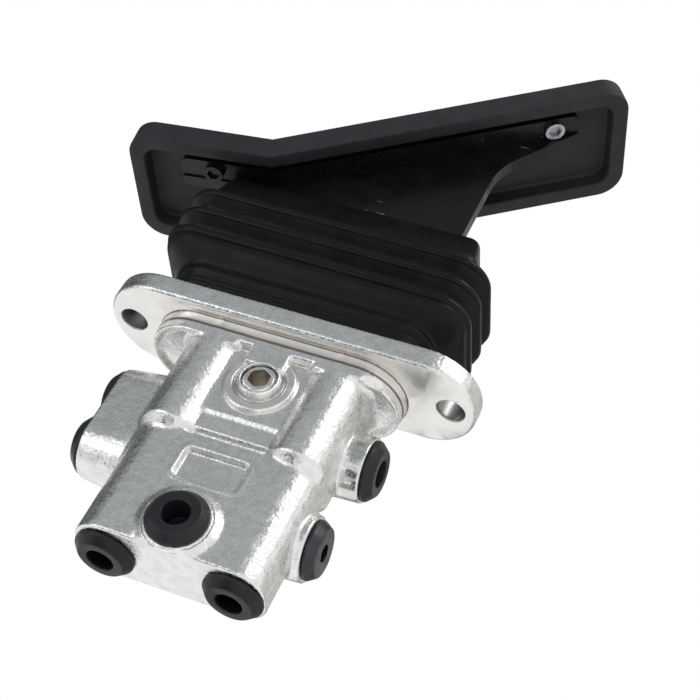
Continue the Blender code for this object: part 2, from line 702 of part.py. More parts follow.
def body_holes():
    holes = []
    for sign in (-1, 1):
        holes.append(drill(f"bolt_hole_{sign}", (sign * HOLE_SPACING / 2, 0, FLANGE_THICKNESS), -Z_AXIS,
                           FLANGE_THICKNESS + CUT_OVERRUN, HOLE_DIAMETER / 2, ROUND_SEGMENTS))
    for side in SIDES:
        x = bore_x(side)
        holes.append(drill(f"chamber_{side}", (x, BORE_Y, FLANGE_THICKNESS), -Z_AXIS,
                           FLANGE_THICKNESS - CHAMBER_FLOOR_Z, CHAMBER_RADIUS, FINE_SEGMENTS))
        holes.append(drill(f"spool_bore_{side}", (x, BORE_Y, CHAMBER_FLOOR_Z), -Z_AXIS,
                           CHAMBER_FLOOR_Z - BODY_BOTTOM_Z - PORT_DEPTH / 2, SPOOL_BORE_RADIUS))
    for name, (face, outward) in port_places().items():
        depth = FRONT_PORT_DEPTH if name == "front" else PORT_DEPTH
        holes.append(drill(f"port_{name}", face, -outward, depth, PORT_RADIUS, ROUND_SEGMENTS))
    holes += cross_drillings()
    for x, y in cover_screw_places():
        holes.append(drill(f"screw_hole_{x:.4f}_{y:.4f}", (x, y, FLANGE_THICKNESS), -Z_AXIS,
                           COVER_SCREW_DEPTH + SEAT_GAP, COVER_SCREW_RADIUS + SEAT_GAP, 12))
    return holes


def cross_drillings():
    """Galleries that join the side ports, the chambers and the spool bores."""
    tank_start = TANK_PORT_FACE_X - PORT_DEPTH / 2
    pressure_start = HEEL_PORT_FACE_X + PORT_DEPTH / 2
    pilot_start = TOE_LOWER_PORT_FACE_X - PORT_DEPTH / 2
    return [
        cylinder("tank_gallery", (tank_start, SIDE_PORT_Y, TANK_PORT_Z), -X_AXIS,
                 tank_start - root_x("heel", 1), GALLERY_RADIUS, SMALL_SEGMENTS),
        cylinder("pressure_gallery", (pressure_start, SIDE_PORT_Y, HEEL_LOWER_PORT_Z), X_AXIS,
                 root_x("toe", 1) - pressure_start, GALLERY_RADIUS, SMALL_SEGMENTS),
        cylinder("chamber_gallery", (pressure_start, SIDE_PORT_Y, HEEL_UPPER_PORT_Z), X_AXIS,
                 root_x("heel", 2) - pressure_start, GALLERY_RADIUS, SMALL_SEGMENTS),
        cylinder("pilot_gallery", (pilot_start, SIDE_PORT_Y, TOE_LOWER_PORT_Z), -X_AXIS,
                 pilot_start - root_x("toe", 1), GALLERY_RADIUS, SMALL_SEGMENTS),
        cylinder("take_off_gallery", (0, BORE_Y - ROOT_STEP, FRONT_PORT_Z), X_AXIS, root_x("toe", 1),
                 TAKE_OFF_RADIUS, 12),
        drill("socket_bore", (0, RING_BOSS_Y, RING_BOSS_Z), Y_AXIS, SOCKET_BORE_DEPTH,
              SOCKET_BORE_RADIUS, ROUND_SEGMENTS),
    ]


def front_cuts():
    """Shallow front recess, neck scoop, ring groove and the faced underside of the front boss."""
    half = RECESS_WIDTH / 2
    front = BORE_Y - LOWER_WALL_DEPTH / 2
    corners = [(-half, RECESS_TOP_Z, RECESS_CORNER_RADIUS), (-half, RECESS_BOTTOM_Z, RECESS_CORNER_RADIUS),
               (half, RECESS_BOTTOM_Z, RECESS_CORNER_RADIUS), (half, RECESS_TOP_Z, RECESS_CORNER_RADIUS)]
    outline = rounded_corners(corners, steps=3)
    cuts = [flat_plate("recess", outline, front - CUT_OVERRUN, front + RECESS_DEPTH)]
    bm = bmesh.new()
    bmesh.ops.create_uvsphere(bm, u_segments=16, v_segments=8, radius=SCOOP_RADIUS,
                              matrix=standing(SCOOP_X, SCOOP_Y, SCOOP_Z))
    cuts.append(mesh_object("neck_scoop", bm))
    groove_inner = RING_BOSS_RADIUS + RING_GROOVE_ROOT
    groove = [(RING_GROOVE_OUTER, CUT_OVERRUN), (RING_GROOVE_OUTER, -RING_GROOVE_SINK),
              (groove_inner, -RING_GROOVE_SINK), (groove_inner, CUT_OVERRUN)]
    place = standing(0, RING_PAD_Y, RING_BOSS_Z) @ facing(-Y_AXIS)
    cuts.append(turned("ring_groove", groove, place, ring=True))
    boss_end = FRONT_PORT_Z - BOSS_RADIUS - CUT_OVERRUN
    cuts.append(box("bottom_facing", (-BOSS_RADIUS, front, boss_end),
                    (BOSS_RADIUS, BORE_Y + BOSS_RADIUS, BODY_BOTTOM_Z)))
    return cuts


def valve_body():
    body = flange_plate()
    combine(body, central_walls() + bore_walls() + side_bosses() + back_galleries() + front_relief(), "UNION")
    combine(body, body_holes() + front_cuts(), "DIFFERENCE")
    return finish(body, CAST_ALUMINIUM)


# Port caps and socket plugs

def cap_profile(rim_radius, face_radius, height):
    """Outer side of a cap from its face down its stem."""
    return [(face_radius, height), (rim_radius, CAP_RIM_HEIGHT), (rim_radius, SEAT_GAP),
            (CAP_STEM_RADIUS, SEAT_GAP), (CAP_STEM_RADIUS, -CAP_STEM_LENGTH)]


def port_cap(name, face, outward):
    hole_bottom = CAP_FLOOR - CAP_STEM_LENGTH
    outer = cap_profile(CAP_RIM_RADIUS, CAP_FACE_RADIUS, CAP_HEIGHT)
    profile = [(0, hole_bottom), (CAP_HOLE_RADIUS, hole_bottom), (CAP_HOLE_RADIUS, CAP_HEIGHT)]
    profile += outer + [(0, -CAP_STEM_LENGTH)]
    made = turned(name, profile, Matrix.Translation(face) @ facing(outward))
    return finish(made, MOULDED_CAP)


def hex_key_cut(name, face, outward, across_radius, depth):
    return drill(name, face, -Vector(outward), depth, across_radius, segments=6)


def screw_plug(name, face, outward):
    profile = [(0, SCREW_PLUG_HEIGHT)]
    profile += cap_profile(SCREW_PLUG_RIM_RADIUS, SCREW_PLUG_FACE_RADIUS, SCREW_PLUG_HEIGHT)
    profile += [(0, -CAP_STEM_LENGTH)]
    made = turned(name, profile, Matrix.Translation(face) @ facing(outward))
    top = face + Vector(outward) * SCREW_PLUG_HEIGHT
    combine(made, [hex_key_cut(f"{name}_key", top, outward, SCREW_PLUG_SOCKET, HEX_DEPTH)], "DIFFERENCE")
    return finish(made, BLACK_OXIDE)


def socket_plug():
    """Headless steel plug in the ringed boss on the front."""
    face = Vector((0, RING_BOSS_Y + SOCKET_PLUG_SET_BACK, RING_BOSS_Z))
    radius = SOCKET_BORE_RADIUS - SEAT_GAP
    made = cylinder("front_socket_plug", face, Y_AXIS, SOCKET_PLUG_LENGTH, radius)
    combine(made, [hex_key_cut("front_socket_key", face, -Y_AXIS, SOCKET_PLUG_HEX, HEX_DEPTH)],
            "DIFFERENCE")
    return finish(made, ZINC_STEEL)


def port_closures():
    for name, (face, outward) in port_places().items():
        if name == "toe_lower":
            screw_plug("port_plug_toe_lower", face, outward)
        else:
            port_cap(f"port_cap_{name}", face, outward)


# Pivot cover, its screws and bushes

def cover_screw_places():
    return [(sign * COVER_SCREW_X, y) for sign in (-1, 1)
            for y in (COVER_SCREW_FRONT_Y, COVER_SCREW_BACK_Y)]


def ear(name, y):
    """Upright lug with a round head on the pivot axis."""
    foot_z = COVER_TOP_Z - COVER_THICKNESS / 2
    circles = []
    for plane in (y, y + EAR_THICKNESS):
        circles.append(((0, plane, PIVOT_Z), Y_AXIS, EAR_RADIUS))
        for sign in (-1, 1):
            circles.append(((sign * EAR_FOOT_HALF_WIDTH, plane, foot_z), Y_AXIS, 0.001))
    return hull_of_circles(name, circles, ROUND_SEGMENTS)


def pivot_cover():
    circles = []
    for x in (-COVER_HALF_LENGTH, COVER_HALF_LENGTH):
        for y in (COVER_FRONT_Y, COVER_BACK_Y):
            centre_x = x - math.copysign(COVER_CORNER_RADIUS, x)
            centre_y = y - math.copysign(COVER_CORNER_RADIUS, y)
            circles += [((centre_x, centre_y, z), Z_AXIS, COVER_CORNER_RADIUS)
                        for z in (COVER_BOTTOM_Z, COVER_TOP_Z)]
    cover = hull_of_circles("pivot_cover", circles, SMALL_SEGMENTS)
    combine(cover, [ear("front_ear", FRONT_EAR_Y), ear("back_ear", BACK_EAR_Y)], "UNION")
    cuts = [cylinder("bush_bore", (0, FRONT_EAR_Y - CUT_OVERRUN, PIVOT_Z), Y_AXIS,
                     BACK_EAR_Y - FRONT_EAR_Y + EAR_THICKNESS + 2 * CUT_OVERRUN,
                     BUSH_RADIUS + SEAT_GAP)]
    for side in SIDES:
        cuts.append(drill(f"guide_bore_{side}", (bore_x(side), BORE_Y, COVER_TOP_Z), -Z_AXIS,
                          COVER_THICKNESS + CUT_OVERRUN, GUIDE_NECK_RADIUS + SEAT_GAP, ROUND_SEGMENTS))
    for x, y in cover_screw_places():
        cuts.append(drill(f"cover_hole_{x:.4f}_{y:.4f}", (x, y, COVER_TOP_Z), -Z_AXIS,
                          COVER_THICKNESS + CUT_OVERRUN, COVER_SCREW_RADIUS + SEAT_GAP, 12))
    combine(cover, cuts, "DIFFERENCE")
    return finish(cover, CAST_COVER)


def socket_screw(name, head_seat, direction, radius, length, head_radius, head_height, surface):
    """Socket-head screw whose head rests at head_seat and whose shank runs along direction."""
    profile = [(0, head_height), (head_radius, head_height), (head_radius, SEAT_GAP),
               (radius, SEAT_GAP), (radius, -length), (0, -length)]
    outward = -Vector(direction)
    made = turned(name, profile, Matrix.Translation(head_seat) @ facing(outward), 12)
    top = Vector(head_seat) + outward * head_height
    key = hex_key_cut(f"{name}_key", top, outward, radius, head_height * 0.55)
    combine(made, [key], "DIFFERENCE")
    return finish(made, surface)


def cover_screws():
    for x, y in cover_screw_places():
        name = f"cover_screw_{'toe' if x > 0 else 'heel'}_{'back' if y > 0 else 'front'}"
        socket_screw(name, Vector((x, y, COVER_TOP_Z)), -Z_AXIS, COVER_SCREW_RADIUS,
                     COVER_THICKNESS + COVER_SCREW_DEPTH, COVER_SCREW_HEAD_RADIUS,
                     COVER_SCREW_HEAD_HEIGHT, BLACK_OXIDE)


def pivot_bushes():
    profile = [(BUSH_RADIUS, EAR_THICKNESS), (BUSH_RADIUS, 0), (BUSH_BORE_RADIUS, 0),
               (BUSH_BORE_RADIUS, EAR_THICKNESS)]
    for name, y in (("pivot_bush_front", FRONT_EAR_Y), ("pivot_bush_back", BACK_EAR_Y)):
        place = standing(0, y, PIVOT_Z) @ facing(Y_AXIS)
        finish(turned(name, profile, place, ring=True), BRONZE)


# Plunger guides, seals and rings

def guide_profile():
    groove_floor = GUIDE_RADIUS - RING_GROOVE_DEPTH
    groove_half = RING_CORD_RADIUS + SEAT_GAP
    shoulder = FLANGE_THICKNESS
    seal_floor = COVER_TOP_Z - SEAL_TOP_MARGIN - SEAL_HEIGHT - SEAT_GAP
    return [(GUIDE_NECK_RADIUS, COVER_TOP_Z), (GUIDE_NECK_RADIUS, shoulder), (GUIDE_RADIUS, shoulder),
            (GUIDE_RADIUS, RING_GROOVE_Z + groove_half), (groove_floor, RING_GROOVE_Z + groove_half),
            (groove_floor, RING_GROOVE_Z - groove_half), (GUIDE_RADIUS, RING_GROOVE_Z - groove_half),
            (GUIDE_RADIUS, GUIDE_BOTTOM_Z), (GUIDE_BORE_RADIUS, GUIDE_BOTTOM_Z),
            (GUIDE_BORE_RADIUS, seal_floor), (SEAL_RADIUS + SEAT_GAP, seal_floor),
            (SEAL_RADIUS + SEAT_GAP, COVER_TOP_Z)]


def plunger_guides():
    seal_top = COVER_TOP_Z - SEAL_TOP_MARGIN
    seal_profile = [(SEAL_RADIUS, seal_top), (SEAL_RADIUS, seal_top - SEAL_HEIGHT),
                    (GUIDE_BORE_RADIUS, seal_top - SEAL_HEIGHT), (GUIDE_BORE_RADIUS, seal_top)]
    ring_centre = GUIDE_RADIUS - RING_GROOVE_DEPTH + SEAT_GAP + RING_CORD_RADIUS
    ring_profile = [(ring_centre + RING_CORD_RADIUS * math.cos(turn),
                     RING_GROOVE_Z - RING_CORD_RADIUS * math.sin(turn))
                    for turn in (math.tau * step / 8 for step in range(8))]
    for side in SIDES:
        place = standing(bore_x(side), BORE_Y, 0)
        for name, profile, surface in (("plunger_guide", guide_profile(), GROUND_STEEL),
                                       ("rod_seal", seal_profile, SEAL_RUBBER),
                                       ("guide_ring", ring_profile, SEAL_RUBBER)):
            finish(turned(f"{name}_{side}", profile, place, SMALL_SEGMENTS, ring=True), surface)


# Push rods, spring seats, springs and spools

def coil(name, x, top_z, bottom_z, mean_radius, wire_radius, turns):
    """Compression spring with closed end turns."""
    points_per_turn = 10
    count = turns * points_per_turn
    low = bottom_z + wire_radius
    high = top_z - wire_radius
    curve = bpy.data.curves.new(name, "CURVE")
    curve.dimensions = "3D"
    curve.bevel_depth = wire_radius
    curve.bevel_resolution = 1
    curve.use_fill_caps = True
    spline = curve.splines.new("POLY")
    spline.points.add(count)
    closed = 0.8 / turns
    for index, point in enumerate(spline.points):
        share = index / count
        turn = math.tau * turns * share
        rise = min(max((share - closed) / (1 - 2 * closed), 0), 1)
        pitch_floor = 2.3 * wire_radius
        lead = pitch_floor * (min(share, closed) + max(share - 1 + closed, 0)) * turns
        height = low + lead + (high - low - 2 * pitch_floor * closed * turns) * rise
        point.co = (x + mean_radius * math.cos(turn), BORE_Y + mean_radius * math.sin(turn), height, 1)
    drawn = bpy.data.objects.new(name, curve)
    CUTTERS.objects.link(drawn)
    return finish(solid_from_curve(drawn, name), SPRING_STEEL)


def push_rod(side):
    chamfer = ROD_RADIUS * 0.16
    profile = [(0, ROD_TOP_Z), (ROD_RADIUS - chamfer, ROD_TOP_Z), (ROD_RADIUS, ROD_TOP_Z - chamfer),
               (ROD_RADIUS, ROD_BOTTOM_Z), (0, ROD_BOTTOM_Z)]
    place = standing(bore_x(side), BORE_Y, 0)
    finish(turned(f"push_rod_{side}", profile, place), GROUND_STEEL)
    seat_bottom = SPRING_SEAT_TOP_Z - SPRING_SEAT_THICKNESS
    seat = [(0, SPRING_SEAT_TOP_Z), (SPRING_SEAT_RADIUS, SPRING_SEAT_TOP_Z),
            (SPRING_SEAT_RADIUS, seat_bottom), (0, seat_bottom)]
    finish(turned(f"spring_seat_{side}", seat, place), GROUND_STEEL)


def spool(side):
    collar_bottom = SPOOL_COLLAR_Z - SPOOL_COLLAR_THICKNESS
    land_top = CHAMBER_FLOOR_Z - RUNNING_GAP
    waist_top = land_top - SPOOL_LAND_LENGTH
    waist_bottom = HEEL_LOWER_PORT_Z - (waist_top - HEEL_LOWER_PORT_Z)
    drill_top = SPOOL_END_Z + SPOOL_DRILL_DEPTH
    stem_top = SPOOL_COLLAR_Z + SPOOL_STEM_LENGTH
    profile = [(0, stem_top), (SPOOL_STEM_RADIUS, stem_top),
               (SPOOL_STEM_RADIUS, SPOOL_COLLAR_Z), (SPOOL_COLLAR_RADIUS, SPOOL_COLLAR_Z),
               (SPOOL_COLLAR_RADIUS, collar_bottom), (SPOOL_STEM_RADIUS, collar_bottom),
               (SPOOL_STEM_RADIUS, land_top), (SPOOL_RADIUS, land_top), (SPOOL_RADIUS, waist_top),
               (SPOOL_WAIST_RADIUS, waist_top), (SPOOL_WAIST_RADIUS, waist_bottom),
               (SPOOL_RADIUS, waist_bottom), (SPOOL_RADIUS, SPOOL_END_Z),
               (SPOOL_DRILL_RADIUS, SPOOL_END_Z), (SPOOL_DRILL_RADIUS, drill_top), (0, drill_top)]
    finish(turned(f"spool_{side}", profile, standing(bore_x(side), BORE_Y, 0), SMALL_SEGMENTS), GROUND_STEEL)


def spring_set(side):
    coil(f"return_spring_{side}", bore_x(side), SPRING_TOP_Z, CHAMBER_FLOOR_Z + SEAT_GAP,
         RETURN_SPRING_RADIUS, RETURN_WIRE_RADIUS, RETURN_TURNS)
    coil(f"metering_spring_{side}", bore_x(side), SPRING_TOP_Z, SPOOL_COLLAR_Z + SEAT_GAP,
         METER_SPRING_RADIUS, METER_WIRE_RADIUS, METER_TURNS)


# Rocker, shaft and their screws

def rocker():
    """Steel rocker: hub, two arms with round contact tips, and a head for the bracket."""
    planes = (ROCKER_FRONT_Y, ROCKER_BACK_Y)
    arms = []
    for side in SIDES:
        circles = []
        for y in planes:
            circles.append(((0, y, PIVOT_Z), Y_AXIS, ROCKER_HUB_RADIUS))
            circles.append(((bore_x(side), y, PIVOT_Z - CONTACT_DROP), Y_AXIS, CONTACT_RADIUS))
        arms.append(hull_of_circles(f"arm_{side}", circles))
    arms[0].name = "rocker"
    corner = WEB_CORNER_RADIUS
    head_circles = []
    for y in planes:
        for sign in (-1, 1):
            for z in (PIVOT_Z + ROCKER_HUB_RADIUS, PIVOT_Z + ROCKER_HEAD_HEIGHT - corner):
                head_circles.append(((sign * (ROCKER_HEAD_HALF_WIDTH - corner), y, z), Y_AXIS, corner))
    head = hull_of_circles("rocker_head", head_circles, SMALL_SEGMENTS)
    neck_half = ROCKER_HUB_RADIUS * 0.9
    neck = box("rocker_neck", (-neck_half, ROCKER_FRONT_Y, PIVOT_Z),
               (neck_half, ROCKER_BACK_Y, PIVOT_Z + ROCKER_HUB_RADIUS))
    combine(arms[0], [arms[1], neck, head], "UNION")
    cuts = [cylinder("shaft_bore", (0, ROCKER_FRONT_Y - CUT_OVERRUN, PIVOT_Z), Y_AXIS,
                     ROCKER_THICKNESS + 2 * CUT_OVERRUN, SHAFT_RADIUS + SEAT_GAP)]
    cuts.append(drill("set_screw_hole", (0, rocker_middle(), PIVOT_Z - ROCKER_HUB_RADIUS), Z_AXIS,
                      ROCKER_HUB_RADIUS - SHAFT_RADIUS, SET_SCREW_RADIUS + SEAT_GAP, 12))
    for sign in (-1, 1):
        cuts.append(drill(f"rocker_tap_{sign}", (sign * ROCKER_BOLT_X, ROCKER_FRONT_Y, ROCKER_BOLT_Z),
                          Y_AXIS, ROCKER_BOLT_DEPTH, ROCKER_BOLT_RADIUS + SEAT_GAP))
    combine(arms[0], cuts, "DIFFERENCE")
    return finish(arms[0], BLACK_OXIDE)


def rocker_middle():
    return (ROCKER_FRONT_Y + ROCKER_BACK_Y) / 2


def pivot_shaft():
    length = BACK_EAR_Y + EAR_THICKNESS - FRONT_EAR_Y
    made = cylinder("pivot_shaft", (0, FRONT_EAR_Y, PIVOT_Z), Y_AXIS, length, SHAFT_RADIUS)
    finish(made, GROUND_STEEL)
    seat = Vector((0, rocker_middle(), PIVOT_Z - SHAFT_RADIUS - SEAT_GAP))
    screw = cylinder("shaft_set_screw", seat, -Z_AXIS, SET_SCREW_LENGTH, SET_SCREW_RADIUS, 12)
    tip = seat - Z_AXIS * SET_SCREW_LENGTH
    combine(screw, [hex_key_cut("set_screw_key", tip, -Z_AXIS, SET_SCREW_RADIUS / 2, SET_SCREW_LENGTH / 2)],
            "DIFFERENCE")
    finish(screw, BLACK_OXIDE)


# Bracket, pad and their screws

def web_outline():
    """Side view of the bracket's web, from the toe end of the pedal down to the rocker."""
    mid_depth = (FLAP_TOP_DEPTH + FLAP_UNDER_DEPTH) / 2
    toe_end = BRACKET_TOE_LENGTH - WEB_END_STEP
    heel_end = WEB_END_STEP - BRACKET_HEEL_LENGTH
    toe_top = pedal_point(toe_end, mid_depth)
    kink = pedal_point(0, mid_depth)
    heel_top = pedal_point(heel_end, mid_depth)
    toe_low = pedal_point(toe_end, WEB_JOIN_DEPTH)
    heel_low = pedal_point(heel_end, WEB_JOIN_DEPTH)
    heel_join = WEB_JOIN_DEPTH / math.cos(HEEL_ANGLE) - (WEB_HEEL_X - KINK_X) * math.tan(HEEL_ANGLE)
    return [(toe_top.x, toe_top.y, 0), (kink.x, kink.y, 0), (heel_top.x, heel_top.y, 0),
            (heel_low.x, heel_low.y, 0), (WEB_HEEL_X, KINK_Z - heel_join, 0),
            (WEB_HEEL_X, WEB_SHOULDER_Z, WEB_CORNER_RADIUS),
            (-ROCKER_HEAD_HALF_WIDTH, WEB_FOOT_Z, WEB_CORNER_RADIUS),
            (ROCKER_HEAD_HALF_WIDTH, WEB_FOOT_Z, WEB_CORNER_RADIUS),
            (WEB_TOE_X, WEB_SHOULDER_Z, WEB_CORNER_RADIUS),
            (WEB_TOE_X, WEB_TOE_CORNER_Z, WEB_TOE_BEND_RADIUS), (toe_low.x, toe_low.y, 0)]


def pad_screw_seat(along, depth):
    point = pedal_point(along, depth)
    return Vector((point.x, PAD_SCREW_Y, point.y))


def pedal_bracket():
    web = flat_plate("pedal_bracket", rounded_corners(web_outline()), WEB_FRONT_Y, WEB_BACK_Y)
    flap = kinked_slab("bracket_flap", (FLAP_FRONT_Y, WEB_BACK_Y - WEB_END_STEP),
                       (-BRACKET_HEEL_LENGTH, BRACKET_TOE_LENGTH), (FLAP_TOP_DEPTH, FLAP_UNDER_DEPTH),
                       FLAP_CORNER_RADIUS, front_only=True)
    combine(web, [flap], "UNION")
    cuts = []
    for sign in (-1, 1):
        cuts.append(drill(f"web_hole_{sign}", (sign * ROCKER_BOLT_X, WEB_FRONT_Y, ROCKER_BOLT_Z), Y_AXIS,
                          BRACKET_THICKNESS + CUT_OVERRUN, ROCKER_BOLT_RADIUS + SEAT_GAP))
    for place, along in PAD_SCREW_PLACES.items():
        cuts.append(drill(f"flap_hole_{place}", pad_screw_seat(along, FLAP_UNDER_DEPTH), pedal_up(along),
                          BRACKET_THICKNESS + CUT_OVERRUN, PAD_SCREW_RADIUS + SEAT_GAP, 12))
    combine(web, cuts, "DIFFERENCE")
    return finish(web, BLACK_PAINT)


def pedal_pad():
    """Moulded rubber tray with a deep rim, kinked between heel and toe."""
    pad = kinked_slab("pedal_pad", (PAD_FRONT_Y, PAD_BACK_Y), (-HEEL_LENGTH, TOE_LENGTH), (0, PAD_HEIGHT),
                      PAD_CORNER_RADIUS)
    recess_widths = (PAD_FRONT_Y + PAD_RIM_WIDTH, PAD_BACK_Y - PAD_RIM_WIDTH)
    recess_lengths = (PAD_RIM_WIDTH - HEEL_LENGTH, TOE_LENGTH - PAD_RIM_WIDTH)
    recess_depths = (PAD_TOP_THICKNESS, PAD_HEIGHT + CUT_OVERRUN)
    recess = kinked_slab("pad_recess", recess_widths, recess_lengths, recess_depths,
                         PAD_RECESS_CORNER_RADIUS, PAD_RECESS_ROUND)
    cuts = [recess]
    for place, along in PAD_SCREW_PLACES.items():
        cuts.append(drill(f"pad_hole_{place}", pad_screw_seat(along, PAD_TOP_THICKNESS), pedal_up(along),
                          PAD_SCREW_BITE + SEAT_GAP, PAD_SCREW_RADIUS + SEAT_GAP, 12))
    combine(pad, cuts, "DIFFERENCE")
    return finish(pad, PAD_RUBBER)


def bracket_screws():
    for side, sign in SIDES.items():
        seat = Vector((sign * ROCKER_BOLT_X, WEB_FRONT_Y, ROCKER_BOLT_Z))
        socket_screw(f"rocker_bolt_{side}", seat, Y_AXIS, ROCKER_BOLT_RADIUS,
                     BRACKET_THICKNESS + ROCKER_BOLT_DEPTH, ROCKER_BOLT_HEAD_RADIUS,
                     ROCKER_BOLT_HEAD_HEIGHT, ZINC_STEEL)
    for place, along in PAD_SCREW_PLACES.items():
        seat = pad_screw_seat(along, FLAP_UNDER_DEPTH)
        socket_screw(f"pad_screw_{place}", seat, pedal_up(along), PAD_SCREW_RADIUS,
                     BRACKET_THICKNESS + SEAT_GAP + PAD_SCREW_BITE, PAD_SCREW_HEAD_RADIUS,
                     PAD_SCREW_HEAD_HEIGHT, ZINC_STEEL)


# Bellows boot

def rounded_ring(bm, centre, half_length, half_width, radius, z):
    """Vertices round a rectangle with arc corners, counter-clockwise seen from above."""
    steps = 4
    points = []
    for quarter, (sign_x, sign_y) in enumerate(((1, 1), (-1, 1), (-1, -1), (1, -1))):
        for step in range(steps + 1):
            turn = math.radians(90) * (quarter + step / steps)
            x = centre[0] + sign_x * (half_length - radius) + radius * math.cos(turn)
            y = centre[1] + sign_y * (half_width - radius) + radius * math.sin(turn)
            points.append(bm.verts.new((x, y, z + boot_lift(x, z))))
    return points


def boot_lift(x, z):
    """Rise of the bellows towards the heel: none at the lip and at the top, full on the beads."""
    below = (z - BOOT_LIP_Z) / (BOOT_FIRST_BEAD_Z - BOOT_LIP_Z)
    above = (BOOT_TOP_Z - z) / (BOOT_TOP_Z - BOOT_COLLAR_Z)
    heelward = (BOOT_X + BOOT_BEAD_HALF_LENGTH - x) / (2 * BOOT_BEAD_HALF_LENGTH)
    return BOOT_HEEL_LIFT * max(0, min(below, above, 1)) * heelward


def boot_levels():
    """Half length, half width, corner radius and height of each ring, from the base upwards."""
    base = (BOOT_BASE_HALF_LENGTH, BOOT_BASE_HALF_WIDTH)
    bead = (BOOT_BEAD_HALF_LENGTH, BOOT_BEAD_HALF_WIDTH)

    def ring(size, change, z):
        return (size[0] + change, size[1] + change, BOOT_CORNER_RADIUS + change, z)

    base_z = FLANGE_THICKNESS + SEAT_GAP
    groove_z = base_z + BOOT_BASE_HEIGHT
    levels = [ring(base, 0, base_z), ring(base, 0, groove_z),
              ring(base, -BOOT_LIP_SWELL / 2, (groove_z + BOOT_LIP_Z) / 2 - BOOT_LIP_SWELL / 2),
              ring(base, BOOT_LIP_SWELL * 0.8, BOOT_LIP_Z - BOOT_LIP_SWELL),
              ring(base, BOOT_LIP_SWELL, BOOT_LIP_Z),
              ring(base, BOOT_LIP_SWELL * 0.4, BOOT_LIP_Z + BOOT_LIP_SWELL * 1.5)]
    lower_bead_z = BOOT_FIRST_BEAD_Z
    skirt_start = levels[-1][3]
    spread = [bead[index] - base[index] for index in (0, 1)]
    for share, swell in ((0.35, 0.22), (0.7, 0.62)):
        size = (base[0] + spread[0] * swell, base[1] + spread[1] * swell)
        levels.append(ring(size, 0, skirt_start + (lower_bead_z - skirt_start) * share))
    for index in range(BOOT_BEADS):
        bead_z = lower_bead_z + index * BOOT_BEAD_PITCH
        levels.append(ring(bead, -BOOT_BEAD_HALF_HEIGHT * 0.5, bead_z - BOOT_BEAD_HALF_HEIGHT))
        levels.append(ring(bead, 0, bead_z))
        levels.append(ring(bead, -BOOT_BEAD_HALF_HEIGHT * 0.5, bead_z + BOOT_BEAD_HALF_HEIGHT))
        if index < BOOT_BEADS - 1:
            levels.append(ring(bead, -BOOT_FOLD_DEPTH, bead_z + BOOT_BEAD_PITCH / 2))
    return levels


def boot():
    """Bellows drawn as rings and thickened inwards, open at its foot and round the web."""
    bm = bmesh.new()
    loops = [rounded_ring(bm, (BOOT_X, 0), *level) for level in boot_levels()]
    top_centre = (BOOT_TOP_HEEL_X + BOOT_TOP_TOE_X) / 2
    top_half = (BOOT_TOP_TOE_X - BOOT_TOP_HEEL_X) / 2
    edge = BOOT_WALL / 2
    loops.append(rounded_ring(bm, (BOOT_X, 0), BOOT_COLLAR_HALF_LENGTH, BOOT_COLLAR_HALF_WIDTH,
                              BOOT_COLLAR_CORNER_RADIUS, BOOT_COLLAR_Z))
    loops.append(rounded_ring(bm, (top_centre, 0), top_half, BOOT_TOP_HALF_WIDTH,
                              BOOT_TOP_CORNER_RADIUS, BOOT_TOP_Z - edge))
    loops.append(rounded_ring(bm, (top_centre, 0), top_half - edge, BOOT_TOP_HALF_WIDTH - edge,
                              BOOT_TOP_CORNER_RADIUS - edge, BOOT_TOP_Z))
    slot_x = (WEB_HEEL_X + WEB_TOE_X) / 2
    slot_y = (WEB_FRONT_Y + WEB_BACK_Y) / 2
    slot_half = (WEB_TOE_X - WEB_HEEL_X) / 2 + BOOT_SLOT_GAP
    slot_half_width = BRACKET_THICKNESS / 2 + BOOT_SLOT_GAP
    loops.append(rounded_ring(bm, (slot_x, slot_y), slot_half, slot_half_width, BOOT_SLOT_GAP, BOOT_TOP_Z))
    for lower, upper in zip(loops, loops[1:]):
        for index in range(len(lower)):
            bm.faces.new((lower[index - 1], lower[index], upper[index], upper[index - 1]))
    made = mesh_object("boot", bm)
    wall = made.modifiers.new("wall", "SOLIDIFY")
    wall.thickness = BOOT_WALL
    wall.offset = -1
    return finish(made, BOOT_RUBBER)


def carry(name, place, pieces):
    """Hang the pieces of one moving body on an empty that lies on its joint's axis."""
    holder = bpy.data.objects.new(name, None)
    PARTS.objects.link(holder)
    holder.empty_display_size = ROCKER_HUB_RADIUS
    holder.location = place
    bpy.context.view_layer.update()
    for piece in pieces:
        made = bpy.data.objects[piece]
        made.parent = holder
        made.matrix_parent_inverse = holder.matrix_world.inverted()


def carry_moving_pieces():
    pedal = ["rocker", "shaft_set_screw", "pivot_shaft", "pedal_bracket", "pedal_pad"]
    pedal += [f"rocker_bolt_{side}" for side in SIDES]
    pedal += [f"pad_screw_{place}" for place in PAD_SCREW_PLACES]
    carry("pedal_pivot", (0, 0, PIVOT_Z), pedal)
    for side in SIDES:
        axis_point = (bore_x(side), BORE_Y, 0)
        carry(f"push_rod_axis_{side}", axis_point, [f"push_rod_{side}", f"spring_seat_{side}"])
        carry(f"spool_axis_{side}", axis_point, [f"spool_{side}"])


def build():
    valve_body()
    port_closures()
    socket_plug()
    pivot_cover()
    cover_screws()
    pivot_bushes()
    plunger_guides()
    for side in SIDES:
        push_rod(side)
        spool(side)
        spring_set(side)
    rocker()
    pivot_shaft()
    pedal_bracket()
    pedal_pad()
    bracket_screws()
    boot()
    carry_moving_pieces()
    for cutter in CUTTERS.objects:
        cutter.hide_set(True)


build()
